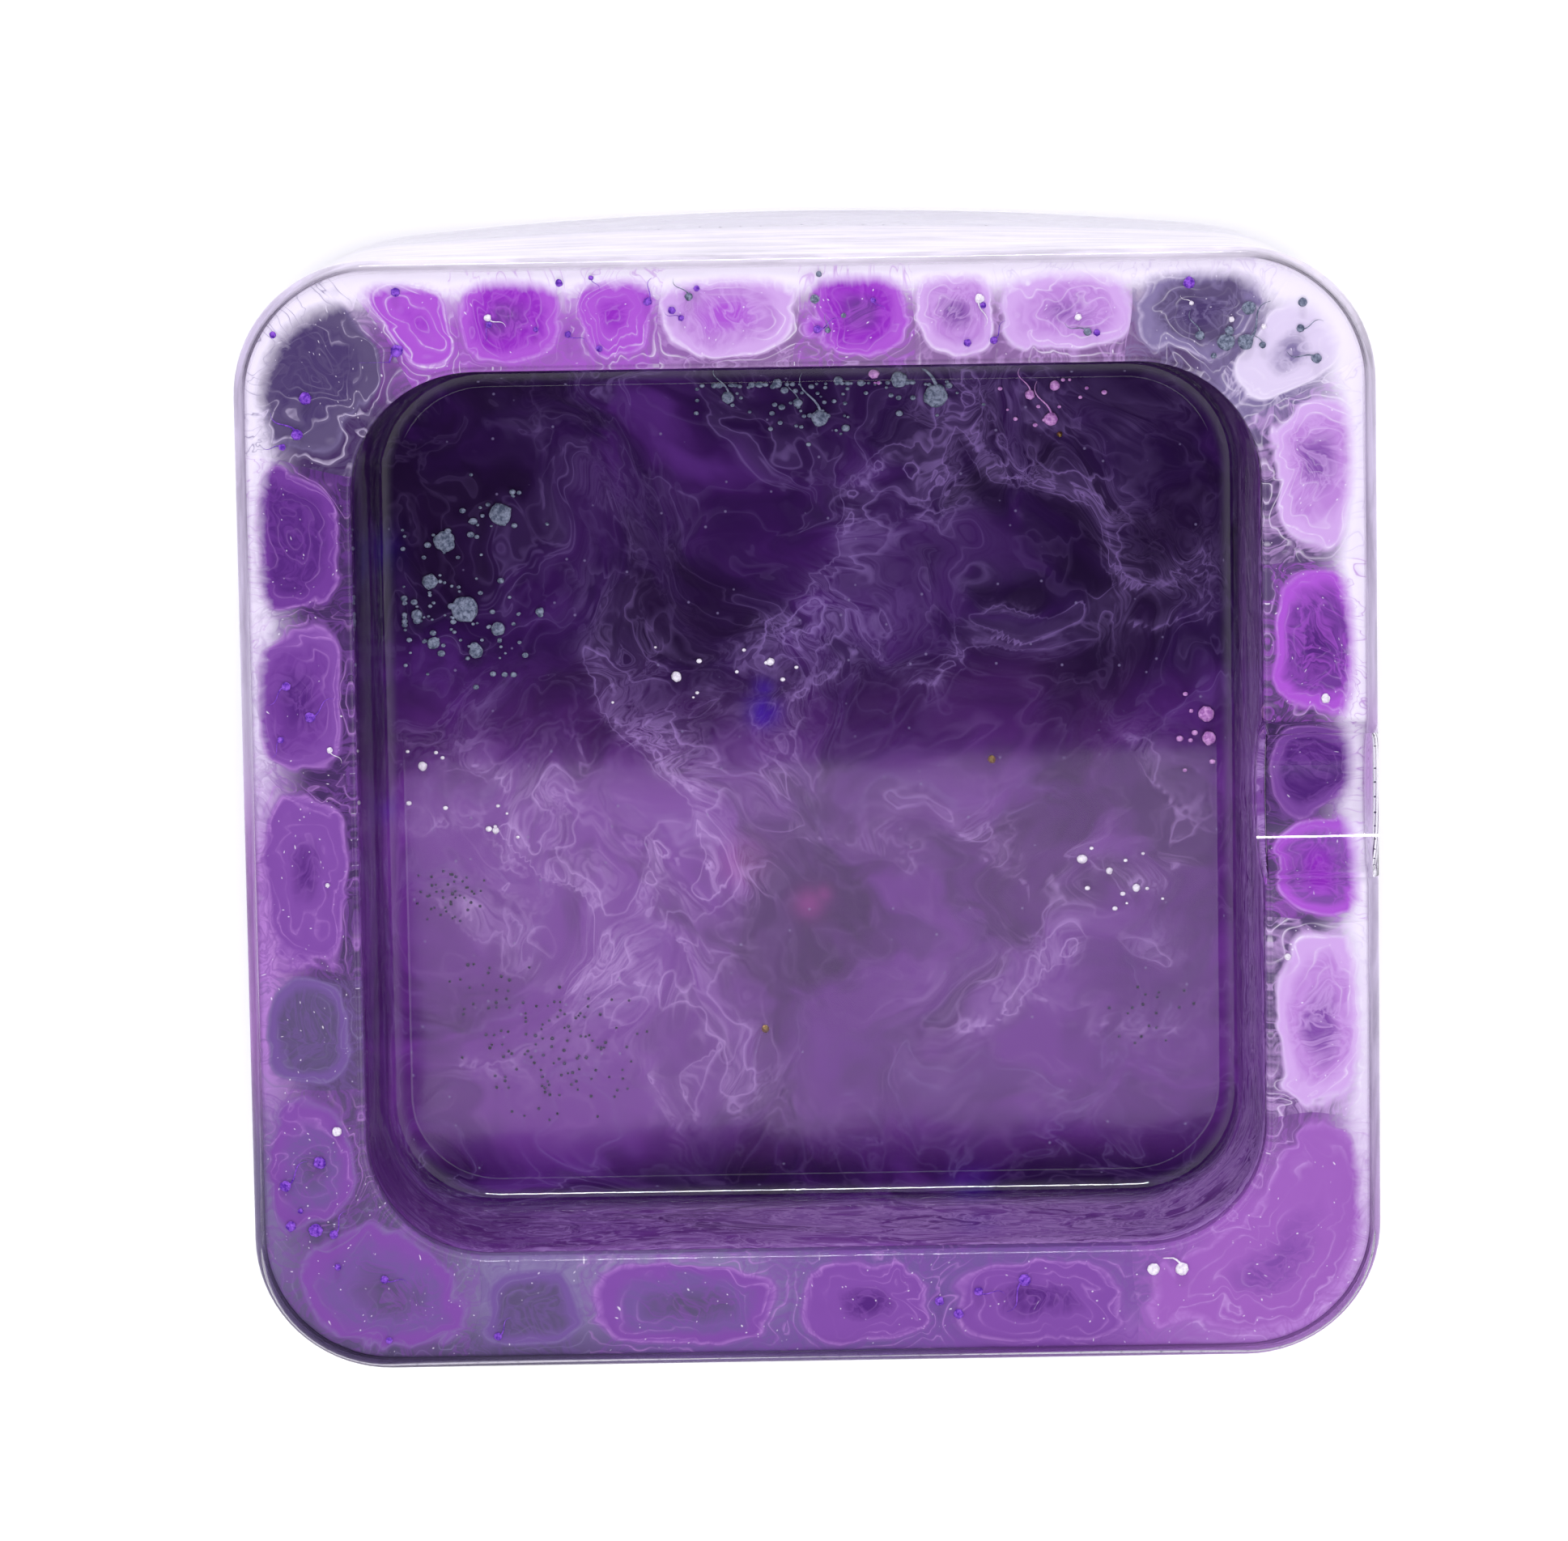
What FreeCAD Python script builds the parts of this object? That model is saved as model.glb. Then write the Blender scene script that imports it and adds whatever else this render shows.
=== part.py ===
"""A square dish cast in clear epoxy resin, with a square recess and one half-round rest groove.

The dish is poured rim-down in an open mould: a clear pour fills the rim and walls, a second pour closes the base.
Drops of alcohol ink sink into the wet resin and set as separate coloured bodies inside it. Each body is its own
solid here, and the pour around it has a pocket of the same shape, so the solids meet and never overlap.

Row frame: millimetres, +Z up, origin on the resting plane under the centre of the dish, +X towards the groove.
"""

import FreeCAD, Part
import math
import os

# ---- driving dimensions ----
SIDE = 100.0            # outside of the rim, across the flats
HEIGHT = 20.0           # resting plane to rim face
RIM_WIDTH = 10.0        # rim face, outer edge to recess
OUTER_CORNER = 12.0     # plan radius of the rim's outer corners
RECESS_CORNER = 11.0    # plan radius of the recess at the rim
RECESS_DEPTH = 14.0
RECESS_DRAFT = 1.6      # how far each recess wall leans in from rim to floor
FLOOR_BLEND = 2.3       # radius between recess wall and floor
SEAM_Z = 7.6            # where the base pour meets the wall pour
BASE_BOW = 0.9          # the mould's open side spreads, so the base's sides bulge by this much
BASE_CORNER = 16.0      # and its corners are drawn in to this plan radius
BOW_RADIUS = 320.0      # radius of each bulged side, in plan
RIM_OUTER_ROUND = 0.8
RIM_INNER_ROUND = 0.5
BASE_ROUND = 1.0
GROOVE_RADIUS = 6.5     # half-round, its axis on the rim face
SKIN = 1.2              # clear resin over every ink body

HALF = SIDE / 2
RECESS_HALF = HALF - RIM_WIDTH
FLOOR_Z = HEIGHT - RECESS_DEPTH
FLOOR_HALF = RECESS_HALF - RECESS_DRAFT
FLOOR_CORNER = RECESS_CORNER - 1.0
CELL_TOP = HEIGHT - SKIN
CELL_BOTTOM = SEAM_Z + 2.4
FLOOR_INK_TOP = FLOOR_Z - SKIN - 0.4
FLOOR_INK_BOTTOM = 1.6
UNDER_GROOVE_TOP = HEIGHT - GROOVE_RADIUS - SKIN
LANE_IN = RECESS_HALF + SKIN        # ink lane in the rim: its edge beside the recess
LANE_OUT = HALF - 1.6               # and its edge beside the outer wall
SMALL = 1e-3


def vec(x, y, z):
    return FreeCAD.Vector(x, y, z)


def arc(a, middle, b):
    return Part.Arc(a, middle, b).toShape()


def outline(half, corner, z, bow=0.0):
    """A closed wire: a square with round corners, whose sides bulge outwards by bow in the middle."""
    if bow:
        centre = half + bow - BOW_RADIUS
        reach = BOW_RADIUS - corner
        corner_at = (centre + math.sqrt(2 * reach**2 - centre**2)) / 2
        scale = BOW_RADIUS / reach
        end_x = corner_at * scale
        end_y = centre + (corner_at - centre) * scale
    else:
        corner_at = half - corner
        end_x = corner_at
        end_y = half
    diagonal = corner_at + corner * math.sqrt(0.5)
    edges = []
    for turn in range(4):
        spin = FreeCAD.Rotation(vec(0, 0, 1), -90 * turn)
        left = spin.multVec(vec(-end_x, end_y, z))
        right = spin.multVec(vec(end_x, end_y, z))
        top = spin.multVec(vec(0, half + bow, z))
        bend = spin.multVec(vec(diagonal, diagonal, z))
        down = spin.multVec(vec(end_y, end_x, z))
        if bow:
            edges.append(arc(left, top, right))
        else:
            edges.append(Part.LineSegment(left, right).toShape())
        edges.append(arc(right, bend, down))
    return Part.Wire(edges)


def edges_at(shape, z, inside=None, outside=0.0):
    """Edges lying flat at height z, whose furthest point from a centre plane is between outside and inside."""
    found = []
    for edge in shape.Edges:
        box = edge.BoundBox
        flat = abs(box.ZMin - z) < SMALL and abs(box.ZMax - z) < SMALL
        reach = max(abs(box.XMin), abs(box.XMax), abs(box.YMin), abs(box.YMax))
        if flat and reach > outside and (inside is None or reach < inside):
            found.append(edge)
    return found


def recess_tool():
    """What the mould's plug leaves open: a drafted square well with a rounded floor edge."""
    well = Part.makeLoft([outline(FLOOR_HALF, FLOOR_CORNER, FLOOR_Z),
                          outline(RECESS_HALF, RECESS_CORNER, HEIGHT)], True, True)
    return well.makeFillet(FLOOR_BLEND, edges_at(well, FLOOR_Z))


def dish_blank():
    """The whole casting in one piece: bulged base, straight rim, recess, rounded edges and groove."""
    body = Part.makeLoft([outline(HALF, BASE_CORNER, 0, BASE_BOW),
                          outline(HALF, OUTER_CORNER, HEIGHT)], True, True)
    body = body.makeFillet(BASE_ROUND, edges_at(body, 0))
    body = body.cut(recess_tool())
    body = body.makeFillet(RIM_INNER_ROUND, edges_at(body, HEIGHT, inside=RECESS_HALF + SMALL))
    body = body.makeFillet(RIM_OUTER_ROUND, edges_at(body, HEIGHT, outside=HALF - SMALL))
    groove = Part.makeCylinder(GROOVE_RADIUS, SIDE, vec(0, 0, HEIGHT), vec(1, 0, 0))
    return body.cut(groove)


def rounded_block(x_span, y_span, z_span, corner, edge):
    """An ink body: an upright block with round corners in plan and a softened top and bottom."""
    size = [span[1] - span[0] for span in (x_span, y_span, z_span)]
    corner = min(corner, 0.48 * size[0], 0.48 * size[1])
    block = Part.makeBox(*size, vec(x_span[0], y_span[0], z_span[0]))
    upright = [e for e in block.Edges if e.BoundBox.ZLength > SMALL]
    block = block.makeFillet(corner, upright)
    rims = edges_at(block, z_span[0]) + edges_at(block, z_span[1])
    return block.makeFillet(edge, rims)


# Ink bodies in the rim, as (name, low, high) along the side they lie in.
LEFT_CELLS = [("ink_left_1", 18.9, 31.6), ("ink_left_2", 4.3, 18.1), ("ink_left_3", -13.4, 3.1),
              ("ink_left_4", -24.3, -15.0), ("ink_left_5", -37.6, -25.1)]
TOP_CELLS = [("ink_back_1", -38.6, -31.2), ("ink_back_2", -30.4, -21.4), ("ink_back_3", -20.6, -13.0),
             ("ink_back_4", -11.6, -1.0), ("ink_back_5", -0.2, 9.6), ("ink_back_6", 10.4, 16.4),
             ("ink_back_7", 17.2, 27.6)]
RIGHT_CELLS = [("ink_right_1", 22.4, 38.6), ("ink_right_2", 8.0, 21.4), ("ink_right_5", -28.2, -11.0)]
FRONT_CELLS = [("ink_front_1", -30.2, -21.8), ("ink_front_2", -20.8, -3.3), ("ink_front_3", -2.1, 10.6),
               ("ink_front_4", 11.4, 28.0)]
# Ink bodies that sank lower, under the groove.
GROOVE_CELLS = [("ink_right_3", -2.2, 6.0), ("ink_right_4", -10.2, -3.0)]
CELL_CORNER = 2.6
CELL_EDGE = 1.5


def rim_cells():
    """Every ink body in the rim, by name."""
    lane = (LANE_IN, LANE_OUT)
    mirror_lane = (-LANE_OUT, -LANE_IN)
    tall = (CELL_BOTTOM, CELL_TOP)
    cells = {}
    for name, low, high in LEFT_CELLS:
        cells[name] = rounded_block(mirror_lane, (low, high), tall, CELL_CORNER, CELL_EDGE)
    for name, low, high in RIGHT_CELLS:
        cells[name] = rounded_block(lane, (low, high), tall, CELL_CORNER, CELL_EDGE)
    for name, low, high in TOP_CELLS:
        cells[name] = rounded_block((low, high), lane, tall, CELL_CORNER, CELL_EDGE)
    for name, low, high in FRONT_CELLS:
        cells[name] = rounded_block((low, high), mirror_lane, tall, CELL_CORNER, CELL_EDGE)
    for name, low, high in GROOVE_CELLS:
        cells[name] = rounded_block(lane, (low, high), (SEAM_Z + SKIN, UNDER_GROOVE_TOP), CELL_CORNER, CELL_EDGE)
    return cells


# The larger ink bodies in the corners, as (name, x span, y span, corner). The lane in the rim cuts them to shape.
CORNER_CELLS = [("ink_corner_back_left", (-48.2, -38.8), (32.6, 47.4), 4.0),
                ("ink_corner_back_right", (28.6, 40.6), (38.0, 48.4), 3.0),
                ("ink_corner_pale", (41.4, 48.0), (39.4, 47.0), 2.8),
                ("ink_corner_front_left", (-47.6, -31.2), (-48.4, -38.6), 4.0),
                ("ink_corner_front_right", (28.8, 48.4), (-48.4, -29.2), 3.0)]


def rim_lane():
    """The part of the rim that ink bodies may fill: inside the outer wall's skin and outside the recess's."""
    tall = vec(0, 0, CELL_TOP - CELL_BOTTOM)
    outer = Part.Face(outline(LANE_OUT, OUTER_CORNER - HALF + LANE_OUT, CELL_BOTTOM)).extrude(tall)
    inner = Part.Face(outline(LANE_IN, RECESS_CORNER + SKIN, CELL_BOTTOM)).extrude(tall)
    return outer.cut(inner)


def corner_cells():
    """Every ink body in a corner, by name."""
    lane = rim_lane()
    cells = {}
    for name, x_span, y_span, corner in CORNER_CELLS:
        block = rounded_block(x_span, y_span, (CELL_BOTTOM, CELL_TOP), corner, CELL_EDGE)
        cells[name] = block.common(lane).Solids[0]
    return cells


# Droplets, as (x, y, radius). They lie in the clear skin over the ink, under the recess floor and the rim face.
FLOOR_SLATE = [(-30.5, 16.0, 1.15), (-27.2, 24.6, 0.95), (-32.2, 22.2, 0.95), (-33.6, 18.6, 0.7), (-27.6, 14.2, 0.6),
               (-33.4, 13.0, 0.55), (-29.6, 12.2, 0.6), (-34.8, 15.6, 0.5), (-2.4, 36.0, 0.45), (1.3, 32.8, 0.75),
               (3.0, 36.2, 0.4), (-0.6, 34.2, 0.4), (8.4, 36.2, 0.75), (11.6, 34.6, 1.05), (-6.8, 34.8, 0.55)]
FLOOR_ROSE = [(6.2, 36.8, 0.5), (20.0, 34.6, 0.45), (21.8, 32.4, 0.6), (22.2, 35.4, 0.45), (35.4, 5.4, 0.7),
              (35.6, 3.2, 0.6)]
FLOOR_WHITE = [(-34.6, 1.8, 0.4), (-11.8, 9.6, 0.45), (-3.4, 10.8, 0.35), (-28.2, -4.2, 0.3), (26.6, -8.8, 0.3),
               (29.0, -10.4, 0.35)]
GOLD_FLECKS = [(16.2, 1.6, 0.35), (-4.4, -22.8, 0.35), (22.6, 31.0, 0.25)]
RIM_VIOLET = [(-35.6, 47.2, 0.4), (-35.6, 42.0, 0.55), (-43.7, 37.9, 0.55), (-44.5, 34.7, 0.5), (-45.8, 33.6, 0.3),
              (-46.4, 43.6, 0.3), (-46.0, 12.2, 0.4), (-44.0, 9.4, 0.45), (-46.6, 7.4, 0.3), (-44.1, -31.0, 0.55),
              (-47.2, -33.1, 0.5), (-44.6, -37.2, 0.6), (-43.0, -37.6, 0.4), (-46.8, -36.8, 0.45),
              (-45.9, -35.4, 0.25), (-38.6, -41.8, 0.35), (-42.7, -40.6, 0.3), (-38.3, -47.4, 0.3),
              (-28.6, -47.2, 0.35), (12.4, -45.8, 0.45), (14.2, -43.8, 0.4), (33.7, 46.9, 0.5)]
RIM_SLATE = [(36.9, 41.6, 0.75), (38.6, 41.6, 0.7), (38.9, 44.6, 0.6), (43.6, 45.0, 0.4), (43.4, 42.7, 0.35),
             (44.8, 40.0, 0.45), (34.6, 42.2, 0.4), (1.0, 46.0, 0.4), (-10.0, 46.4, 0.35)]
RIM_WHITE = [(32.3, -42.0, 0.6), (29.8, -42.0, 0.55), (40.2, 42.9, 0.25), (37.4, 43.6, 0.25), (24.0, 44.0, 0.3),
             (-27.6, 44.8, 0.3)]
DISC_HEIGHT = 0.6
FLOOR_DISC_Z = FLOOR_Z - 0.9
RIM_DISC_Z = HEIGHT - 0.9


def discs(places, z):
    """Flattened round droplets, all of one colour, as separate solids standing on height z."""
    return [Part.makeCylinder(radius, DISC_HEIGHT, vec(x, y, z)) for x, y, radius in places]


def floor_ink():
    """The sheet of dark ink that drifted out under the recess floor."""
    spread = FLOOR_HALF + 3.0
    return rounded_block((-spread, spread), (-spread, spread), (FLOOR_INK_BOTTOM, FLOOR_INK_TOP), FLOOR_CORNER, 1.2)


def write(name, solids):
    """Writes one node, a solid or a group of solids, as a STEP file."""
    shape = solids[0] if len(solids) == 1 else Part.makeCompound(solids)
    shape.exportStep(os.path.join("parts", name + ".step"))
    print(f"{name}: {len(solids)} solid(s), {shape.Volume / 1000:.3f} cm3, valid {shape.isValid()}")


def main():
    os.makedirs("parts", exist_ok=True)
    blank = dish_blank()
    slab = Part.makeBox(2 * SIDE, 2 * SIDE, SEAM_Z, vec(-SIDE, -SIDE, 0))
    in_floor = {
        "floor_slate_droplets": discs(FLOOR_SLATE, FLOOR_DISC_Z),
        "floor_rose_droplets": discs(FLOOR_ROSE, FLOOR_DISC_Z),
        "floor_white_droplets": discs(FLOOR_WHITE, FLOOR_DISC_Z),
        "gold_flecks": discs(GOLD_FLECKS, FLOOR_DISC_Z),
        "floor_ink": [floor_ink()],
    }
    in_rim = {
        "rim_violet_droplets": discs(RIM_VIOLET, RIM_DISC_Z),
        "rim_slate_droplets": discs(RIM_SLATE, RIM_DISC_Z),
        "rim_white_droplets": discs(RIM_WHITE, RIM_DISC_Z),
    }
    for name, cell in {**rim_cells(), **corner_cells()}.items():
        in_rim[name] = [cell]
    base_pour = blank.common(slab).cut(Part.makeCompound(sum(in_floor.values(), [])))
    wall_pour = blank.cut(slab).cut(Part.makeCompound(sum(in_rim.values(), [])))
    write("wall_pour", wall_pour.Solids)
    write("base_pour", base_pour.Solids)
    for name, solids in {**in_floor, **in_rim}.items():
        write(name, solids)


main()
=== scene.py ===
"""Looks for a square dish cast in clear epoxy: alcohol ink blooms in its rim and smoky ink under its floor.
Sizes are in millimetres unless a comment says otherwise, and a shape is scaled to metres as it is made."""

import math

import bmesh
import bpy
from bpy.props import FloatProperty, FloatVectorProperty, PointerProperty
from mathutils import Matrix, Vector, kdtree, noise


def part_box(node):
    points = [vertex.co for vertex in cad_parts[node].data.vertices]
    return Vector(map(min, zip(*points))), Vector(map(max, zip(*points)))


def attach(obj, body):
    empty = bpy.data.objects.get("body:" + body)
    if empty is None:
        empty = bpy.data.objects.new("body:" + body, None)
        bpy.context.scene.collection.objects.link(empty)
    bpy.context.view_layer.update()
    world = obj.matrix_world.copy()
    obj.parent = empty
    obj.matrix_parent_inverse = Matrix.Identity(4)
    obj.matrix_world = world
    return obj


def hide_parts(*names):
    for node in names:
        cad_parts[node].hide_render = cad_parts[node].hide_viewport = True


bl_info = {
    "name": "Resin Ink Dish",
    "version": (1, 0, 0),
    "blender": (4, 5, 0),
    "location": "View3D > Sidebar > Resin Dish",
    "description": "Builds the clear casting, its ink blooms, droplets and bubbles around the CAD frame",
    "category": "Object",
}

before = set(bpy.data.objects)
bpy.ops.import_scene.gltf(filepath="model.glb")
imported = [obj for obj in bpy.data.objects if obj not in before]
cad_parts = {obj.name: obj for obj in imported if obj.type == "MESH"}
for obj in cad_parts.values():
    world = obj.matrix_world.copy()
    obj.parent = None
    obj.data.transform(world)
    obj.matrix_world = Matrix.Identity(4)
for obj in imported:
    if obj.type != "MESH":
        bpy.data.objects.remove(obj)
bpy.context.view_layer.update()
noise.seed_set(21)  # noise_vector starts from a clock without this

MM = 0.001
TURN = math.tau / 4

# ---- sizes of the casting, in millimetres, as the CAD model has them ----
HALF = 50.0
HEIGHT = 20.0
OUTER_CORNER = 12.0
BASE_CORNER = 16.0
BASE_BOW = 0.9
BOW_RADIUS = 320.0
NEARLY_STRAIGHT = 1e6
RECESS_HALF = 40.0
RECESS_CORNER = 11.0
RECESS_FLOOR_HALF = 38.4
FLOOR_CORNER = 10.0
FLOOR_Z = 6.0
GROOVE_RADIUS = 6.5
BASE_ROUND = 1.0
RIM_OUTER_ROUND = 0.8
RIM_INNER_ROUND = 0.5
FLOOR_BLEND = 2.3
SEAM = 7.6

# ---- the lane in the rim that the ink blooms fill ----
LANE_IN = 40.3
LANE_IN_CORNER = 11.3
LANE_OUT = 49.1
LANE_OUT_CORNER = 11.1
LANE_STRAIGHT = LANE_IN - LANE_IN_CORNER
OUT_STRAIGHT = LANE_OUT - LANE_OUT_CORNER
CORNER_RUN = 2 * (OUT_STRAIGHT - LANE_STRAIGHT) + TURN * LANE_OUT_CORNER
SIDE_RUN = 2 * LANE_STRAIGHT
QUARTER_RUN = SIDE_RUN + CORNER_RUN
WHOLE_RUN = 4 * QUARTER_RUN


def linear(hex_colour):
    """An sRGB colour written as #rrggbb, as linear red, green, blue and an alpha of 1."""
    channels = [int(hex_colour[i:i + 2], 16) / 255 for i in (1, 3, 5)]
    return tuple(c / 12.92 if c <= 0.04045 else ((c + 0.055) / 1.055) ** 2.4 for c in channels) + (1.0,)


# Tails of pigment in the rim stay between these distances from the middle of the dish.
TAIL_IN, TAIL_OUT = 41.0, 48.6
# Specks under the floor have a stem that hangs towards the front if they lie in this row.
STEM_ROW, STEM_DEPTH = 26.0, 9.0


# ------------------------------------------------------------------ shapes

STRAIGHT_STEPS = 40
ARC_STEPS = 18


def outline(half, corner, bow=0.0, bow_radius=NEARLY_STRAIGHT):
    """Points, anticlockwise, of a square with round corners and sides that bow out, in millimetres."""
    centre = half + bow - bow_radius
    reach = bow_radius - corner
    corner_at = (centre + math.sqrt(2 * reach**2 - centre**2)) / 2
    bend = math.asin(corner_at / reach)
    quarter = []
    for step in range(STRAIGHT_STEPS):
        angle = bend * step / STRAIGHT_STEPS
        quarter.append((centre + bow_radius * math.cos(angle), bow_radius * math.sin(angle)))
    for step in range(ARC_STEPS):
        angle = bend + (TURN - 2 * bend) * step / ARC_STEPS
        quarter.append((corner_at + corner * math.cos(angle), corner_at + corner * math.sin(angle)))
    for step in range(STRAIGHT_STEPS, 0, -1):
        angle = bend * step / STRAIGHT_STEPS
        quarter.append((bow_radius * math.sin(angle), centre + bow_radius * math.cos(angle)))
    points = []
    for side in range(4):
        spin = Matrix.Rotation(TURN * side, 2)
        points += [spin @ Vector(point) for point in quarter]
    return points


def ring(points, z):
    return [Vector((p.x, p.y, z)) for p in points]


def outer_ring(z, inset=0.0):
    """The outer wall's outline at height z: bowed at the base and straight at the rim, drawn in by
    inset."""
    base = outline(HALF - inset, BASE_CORNER - inset, BASE_BOW, BOW_RADIUS - inset)
    rim = outline(HALF - inset, OUTER_CORNER - inset)
    share = z / HEIGHT
    return [b.lerp(r, share).to_3d() + Vector((0, 0, z)) for b, r in zip(base, rim)]


def wall_ring(z, outset=0.0):
    """The recess wall's outline at height z, moved out into the resin by outset."""
    share = (z - FLOOR_Z) / (HEIGHT - FLOOR_Z)
    half = RECESS_FLOOR_HALF + (RECESS_HALF - RECESS_FLOOR_HALF) * share + outset
    corner = FLOOR_CORNER + (RECESS_CORNER - FLOOR_CORNER) * share + outset
    return ring(outline(half, corner), z)


def loft(bm, rings, close=True):
    """Adds a skin through a run of rings, in millimetres, that have the same number of points."""
    made = bmesh.ops.create_circle(bm, segments=len(rings[0]), radius=1.0)
    bm.verts.index_update()
    previous = sorted(made["verts"], key=lambda v: v.index)
    edges = list(dict.fromkeys(e for v in previous for e in v.link_edges))
    for vert, point in zip(previous, rings[0]):
        vert.co = point * MM
    if close:
        bmesh.ops.holes_fill(bm, edges=edges)
    for points in rings[1:]:
        out = bmesh.ops.extrude_edge_only(bm, edges=edges)["geom"]
        edges = [e for e in out if isinstance(e, bmesh.types.BMEdge)]
        fresh = {v for v in out if isinstance(v, bmesh.types.BMVert)}
        current = []
        for vert in previous:
            current.append(next(e.other_vert(vert) for e in vert.link_edges if e.other_vert(vert) in fresh))
        for vert, point in zip(current, points):
            vert.co = point * MM
        previous = current
    if close:
        bmesh.ops.holes_fill(bm, edges=edges)


def face_outwards(bm):
    """Turns every face outwards. Points that have moved leave old normals behind, so those are worked out
    first."""
    bm.normal_update()
    bmesh.ops.recalc_face_normals(bm, faces=bm.faces)


def skin(rings, close=True):
    """A bmesh that is one skin through a run of rings, with both ends closed."""
    bm = bmesh.new()
    loft(bm, rings, close)
    face_outwards(bm)
    return bm


def piece(name, bm, material):
    """Turns a bmesh into a finished object with one material. It rides with the dish."""
    mesh = bpy.data.meshes.new(name)
    bm.to_mesh(mesh)
    bm.free()
    mesh.polygons.foreach_set("use_smooth", [True] * len(mesh.polygons))
    mesh.materials.append(material)
    made = bpy.data.objects.new(name, mesh)
    bpy.context.scene.collection.objects.link(made)
    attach(made, "root")
    return made


def stand_in(made, node):
    """Hides one CAD node, in whose place a piece stands."""
    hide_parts(node)


def rim_point(run, across):
    """A point in the rim's lane: run is millimetres along it from the start of the groove side, and across
    goes from 0 at the recess to 1 at the outer wall."""
    side, along = divmod(run % WHOLE_RUN, QUARTER_RUN)
    if along <= SIDE_RUN:
        inner = Vector((LANE_IN, along - LANE_STRAIGHT))
        outer = Vector((LANE_OUT, along - LANE_STRAIGHT))
    else:
        share = (along - SIDE_RUN) / CORNER_RUN
        inner = Vector((LANE_STRAIGHT, LANE_STRAIGHT)) + LANE_IN_CORNER * Vector(
            (math.cos(TURN * share), math.sin(TURN * share)))
        run_in = OUT_STRAIGHT - LANE_STRAIGHT
        passed = along - SIDE_RUN
        if passed < run_in:
            outer = Vector((LANE_OUT, LANE_STRAIGHT + passed))
        elif passed > CORNER_RUN - run_in:
            outer = Vector((LANE_STRAIGHT + CORNER_RUN - passed, LANE_OUT))
        else:
            angle = (passed - run_in) / LANE_OUT_CORNER
            outer = Vector((OUT_STRAIGHT, OUT_STRAIGHT)) + LANE_OUT_CORNER * Vector(
                (math.cos(angle), math.sin(angle)))
    return Matrix.Rotation(TURN * side, 2) @ inner.lerp(outer, across)


def smooth(low, high, value):
    """0 below low, 1 above high, and an even ease between them."""
    share = min(max((value - low) / (high - low), 0.0), 1.0)
    return share * share * (3 - 2 * share)


def ceiling(x, y, clearance):
    """The greatest height that keeps clear of the rim face and the groove, in millimetres."""
    top = HEIGHT - clearance
    reach = GROOVE_RADIUS + clearance
    if x > RECESS_HALF - 4 and abs(y) < reach:
        top = min(top, HEIGHT - math.sqrt(reach**2 - y**2))
    return top


# ------------------------------------------------------------------ materials

def add(tree, kind, inputs=None, stops=None, **settings):
    """Adds one shader node with its settings. An input is a value, a socket to link, or a node to link the
    first output of."""
    node = tree.nodes.new("ShaderNode" + kind)
    for key, value in settings.items():
        setattr(node, key, value)
    for key, value in (inputs or {}).items():
        if isinstance(value, bpy.types.Node):
            value = value.outputs[0]
        if isinstance(value, bpy.types.NodeSocket):
            tree.links.new(value, node.inputs[key])
        else:
            node.inputs[key].default_value = value
    if stops:
        ramp = node.color_ramp.elements
        while len(ramp) < len(stops):
            ramp.new(0.5)
        for element, (place, colour) in zip(ramp, stops):
            element.position = place
        for element, (place, colour) in zip(ramp, stops):
            element.color = shade(colour)
    return node


def fresh_material(name):
    material = bpy.data.materials.new(name)
    material.use_nodes = True
    material.node_tree.nodes.clear()
    return material, material.node_tree


def shade(colour):
    """A colour given as #rrggbb, as a number for a grey, or already linear."""
    if isinstance(colour, str):
        return linear(colour)
    return colour if isinstance(colour, tuple) else (colour, colour, colour, 1.0)


def coat(tree, base, coats):
    """Lays colours over a base one after another, each as strongly as its own factor says."""
    for factor, colour in coats:
        base = add(tree, "Mix", {0: factor, 6: base, 7: colour}, data_type="RGBA").outputs[2]
    return base


def placed_in_mm(tree, lift=1.0):
    """The place on the object in millimetres, with heights stretched by lift."""
    place = add(tree, "TexCoord")
    return add(tree, "Mapping", {"Vector": place.outputs["Object"], "Scale": (1000.0, 1000.0, 1000.0 * lift)})


def stirred(tree, place, noise_node, reach):
    """A place pushed about by the colour of a noise, by up to about a third of reach."""
    push = add(tree, "VectorMath", {0: noise_node.outputs["Color"], 1: (0.5, 0.5, 0.5)}, operation="SUBTRACT")
    shove = add(tree, "VectorMath", {0: push, "Scale": reach}, operation="SCALE")
    return add(tree, "VectorMath", {0: place, 1: shove})


def clear_cast_epoxy(sizes):
    """Clear cast epoxy, glossy from a polished silicone mould: sharp reflections, a faint waviness, edges
    that bend what is behind them. Lamps and the glow off inner pieces pass through, so the ink inside is
    lit."""
    material, tree = fresh_material("clear_cast_epoxy")
    place = add(tree, "TexCoord")
    wave = add(tree, "TexNoise", {"Vector": place.outputs["Object"], "Scale": 70.0, "Detail": 1.0})
    bump = add(tree, "Bump", {"Height": wave, "Strength": 0.02, "Distance": 0.001})
    glass = add(tree, "BsdfPrincipled", {
        "Base Color": linear("#fbf9ff"), "Roughness": sizes.gloss_roughness, "IOR": 1.5,
        "Transmission Weight": 1.0, "Normal": bump.outputs["Normal"]})
    open_air = add(tree, "BsdfTransparent", {"Color": linear("#f6f3fb")})
    path = add(tree, "LightPath")
    glow = add(tree, "MixShader", {
        0: path.outputs["Is Diffuse Ray"], 1: glass, 2: open_air})
    lamp = add(tree, "MixShader", {
        0: path.outputs["Is Shadow Ray"], 1: glow, 2: open_air})
    add(tree, "OutputMaterial", {"Surface": lamp})
    return material


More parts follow.
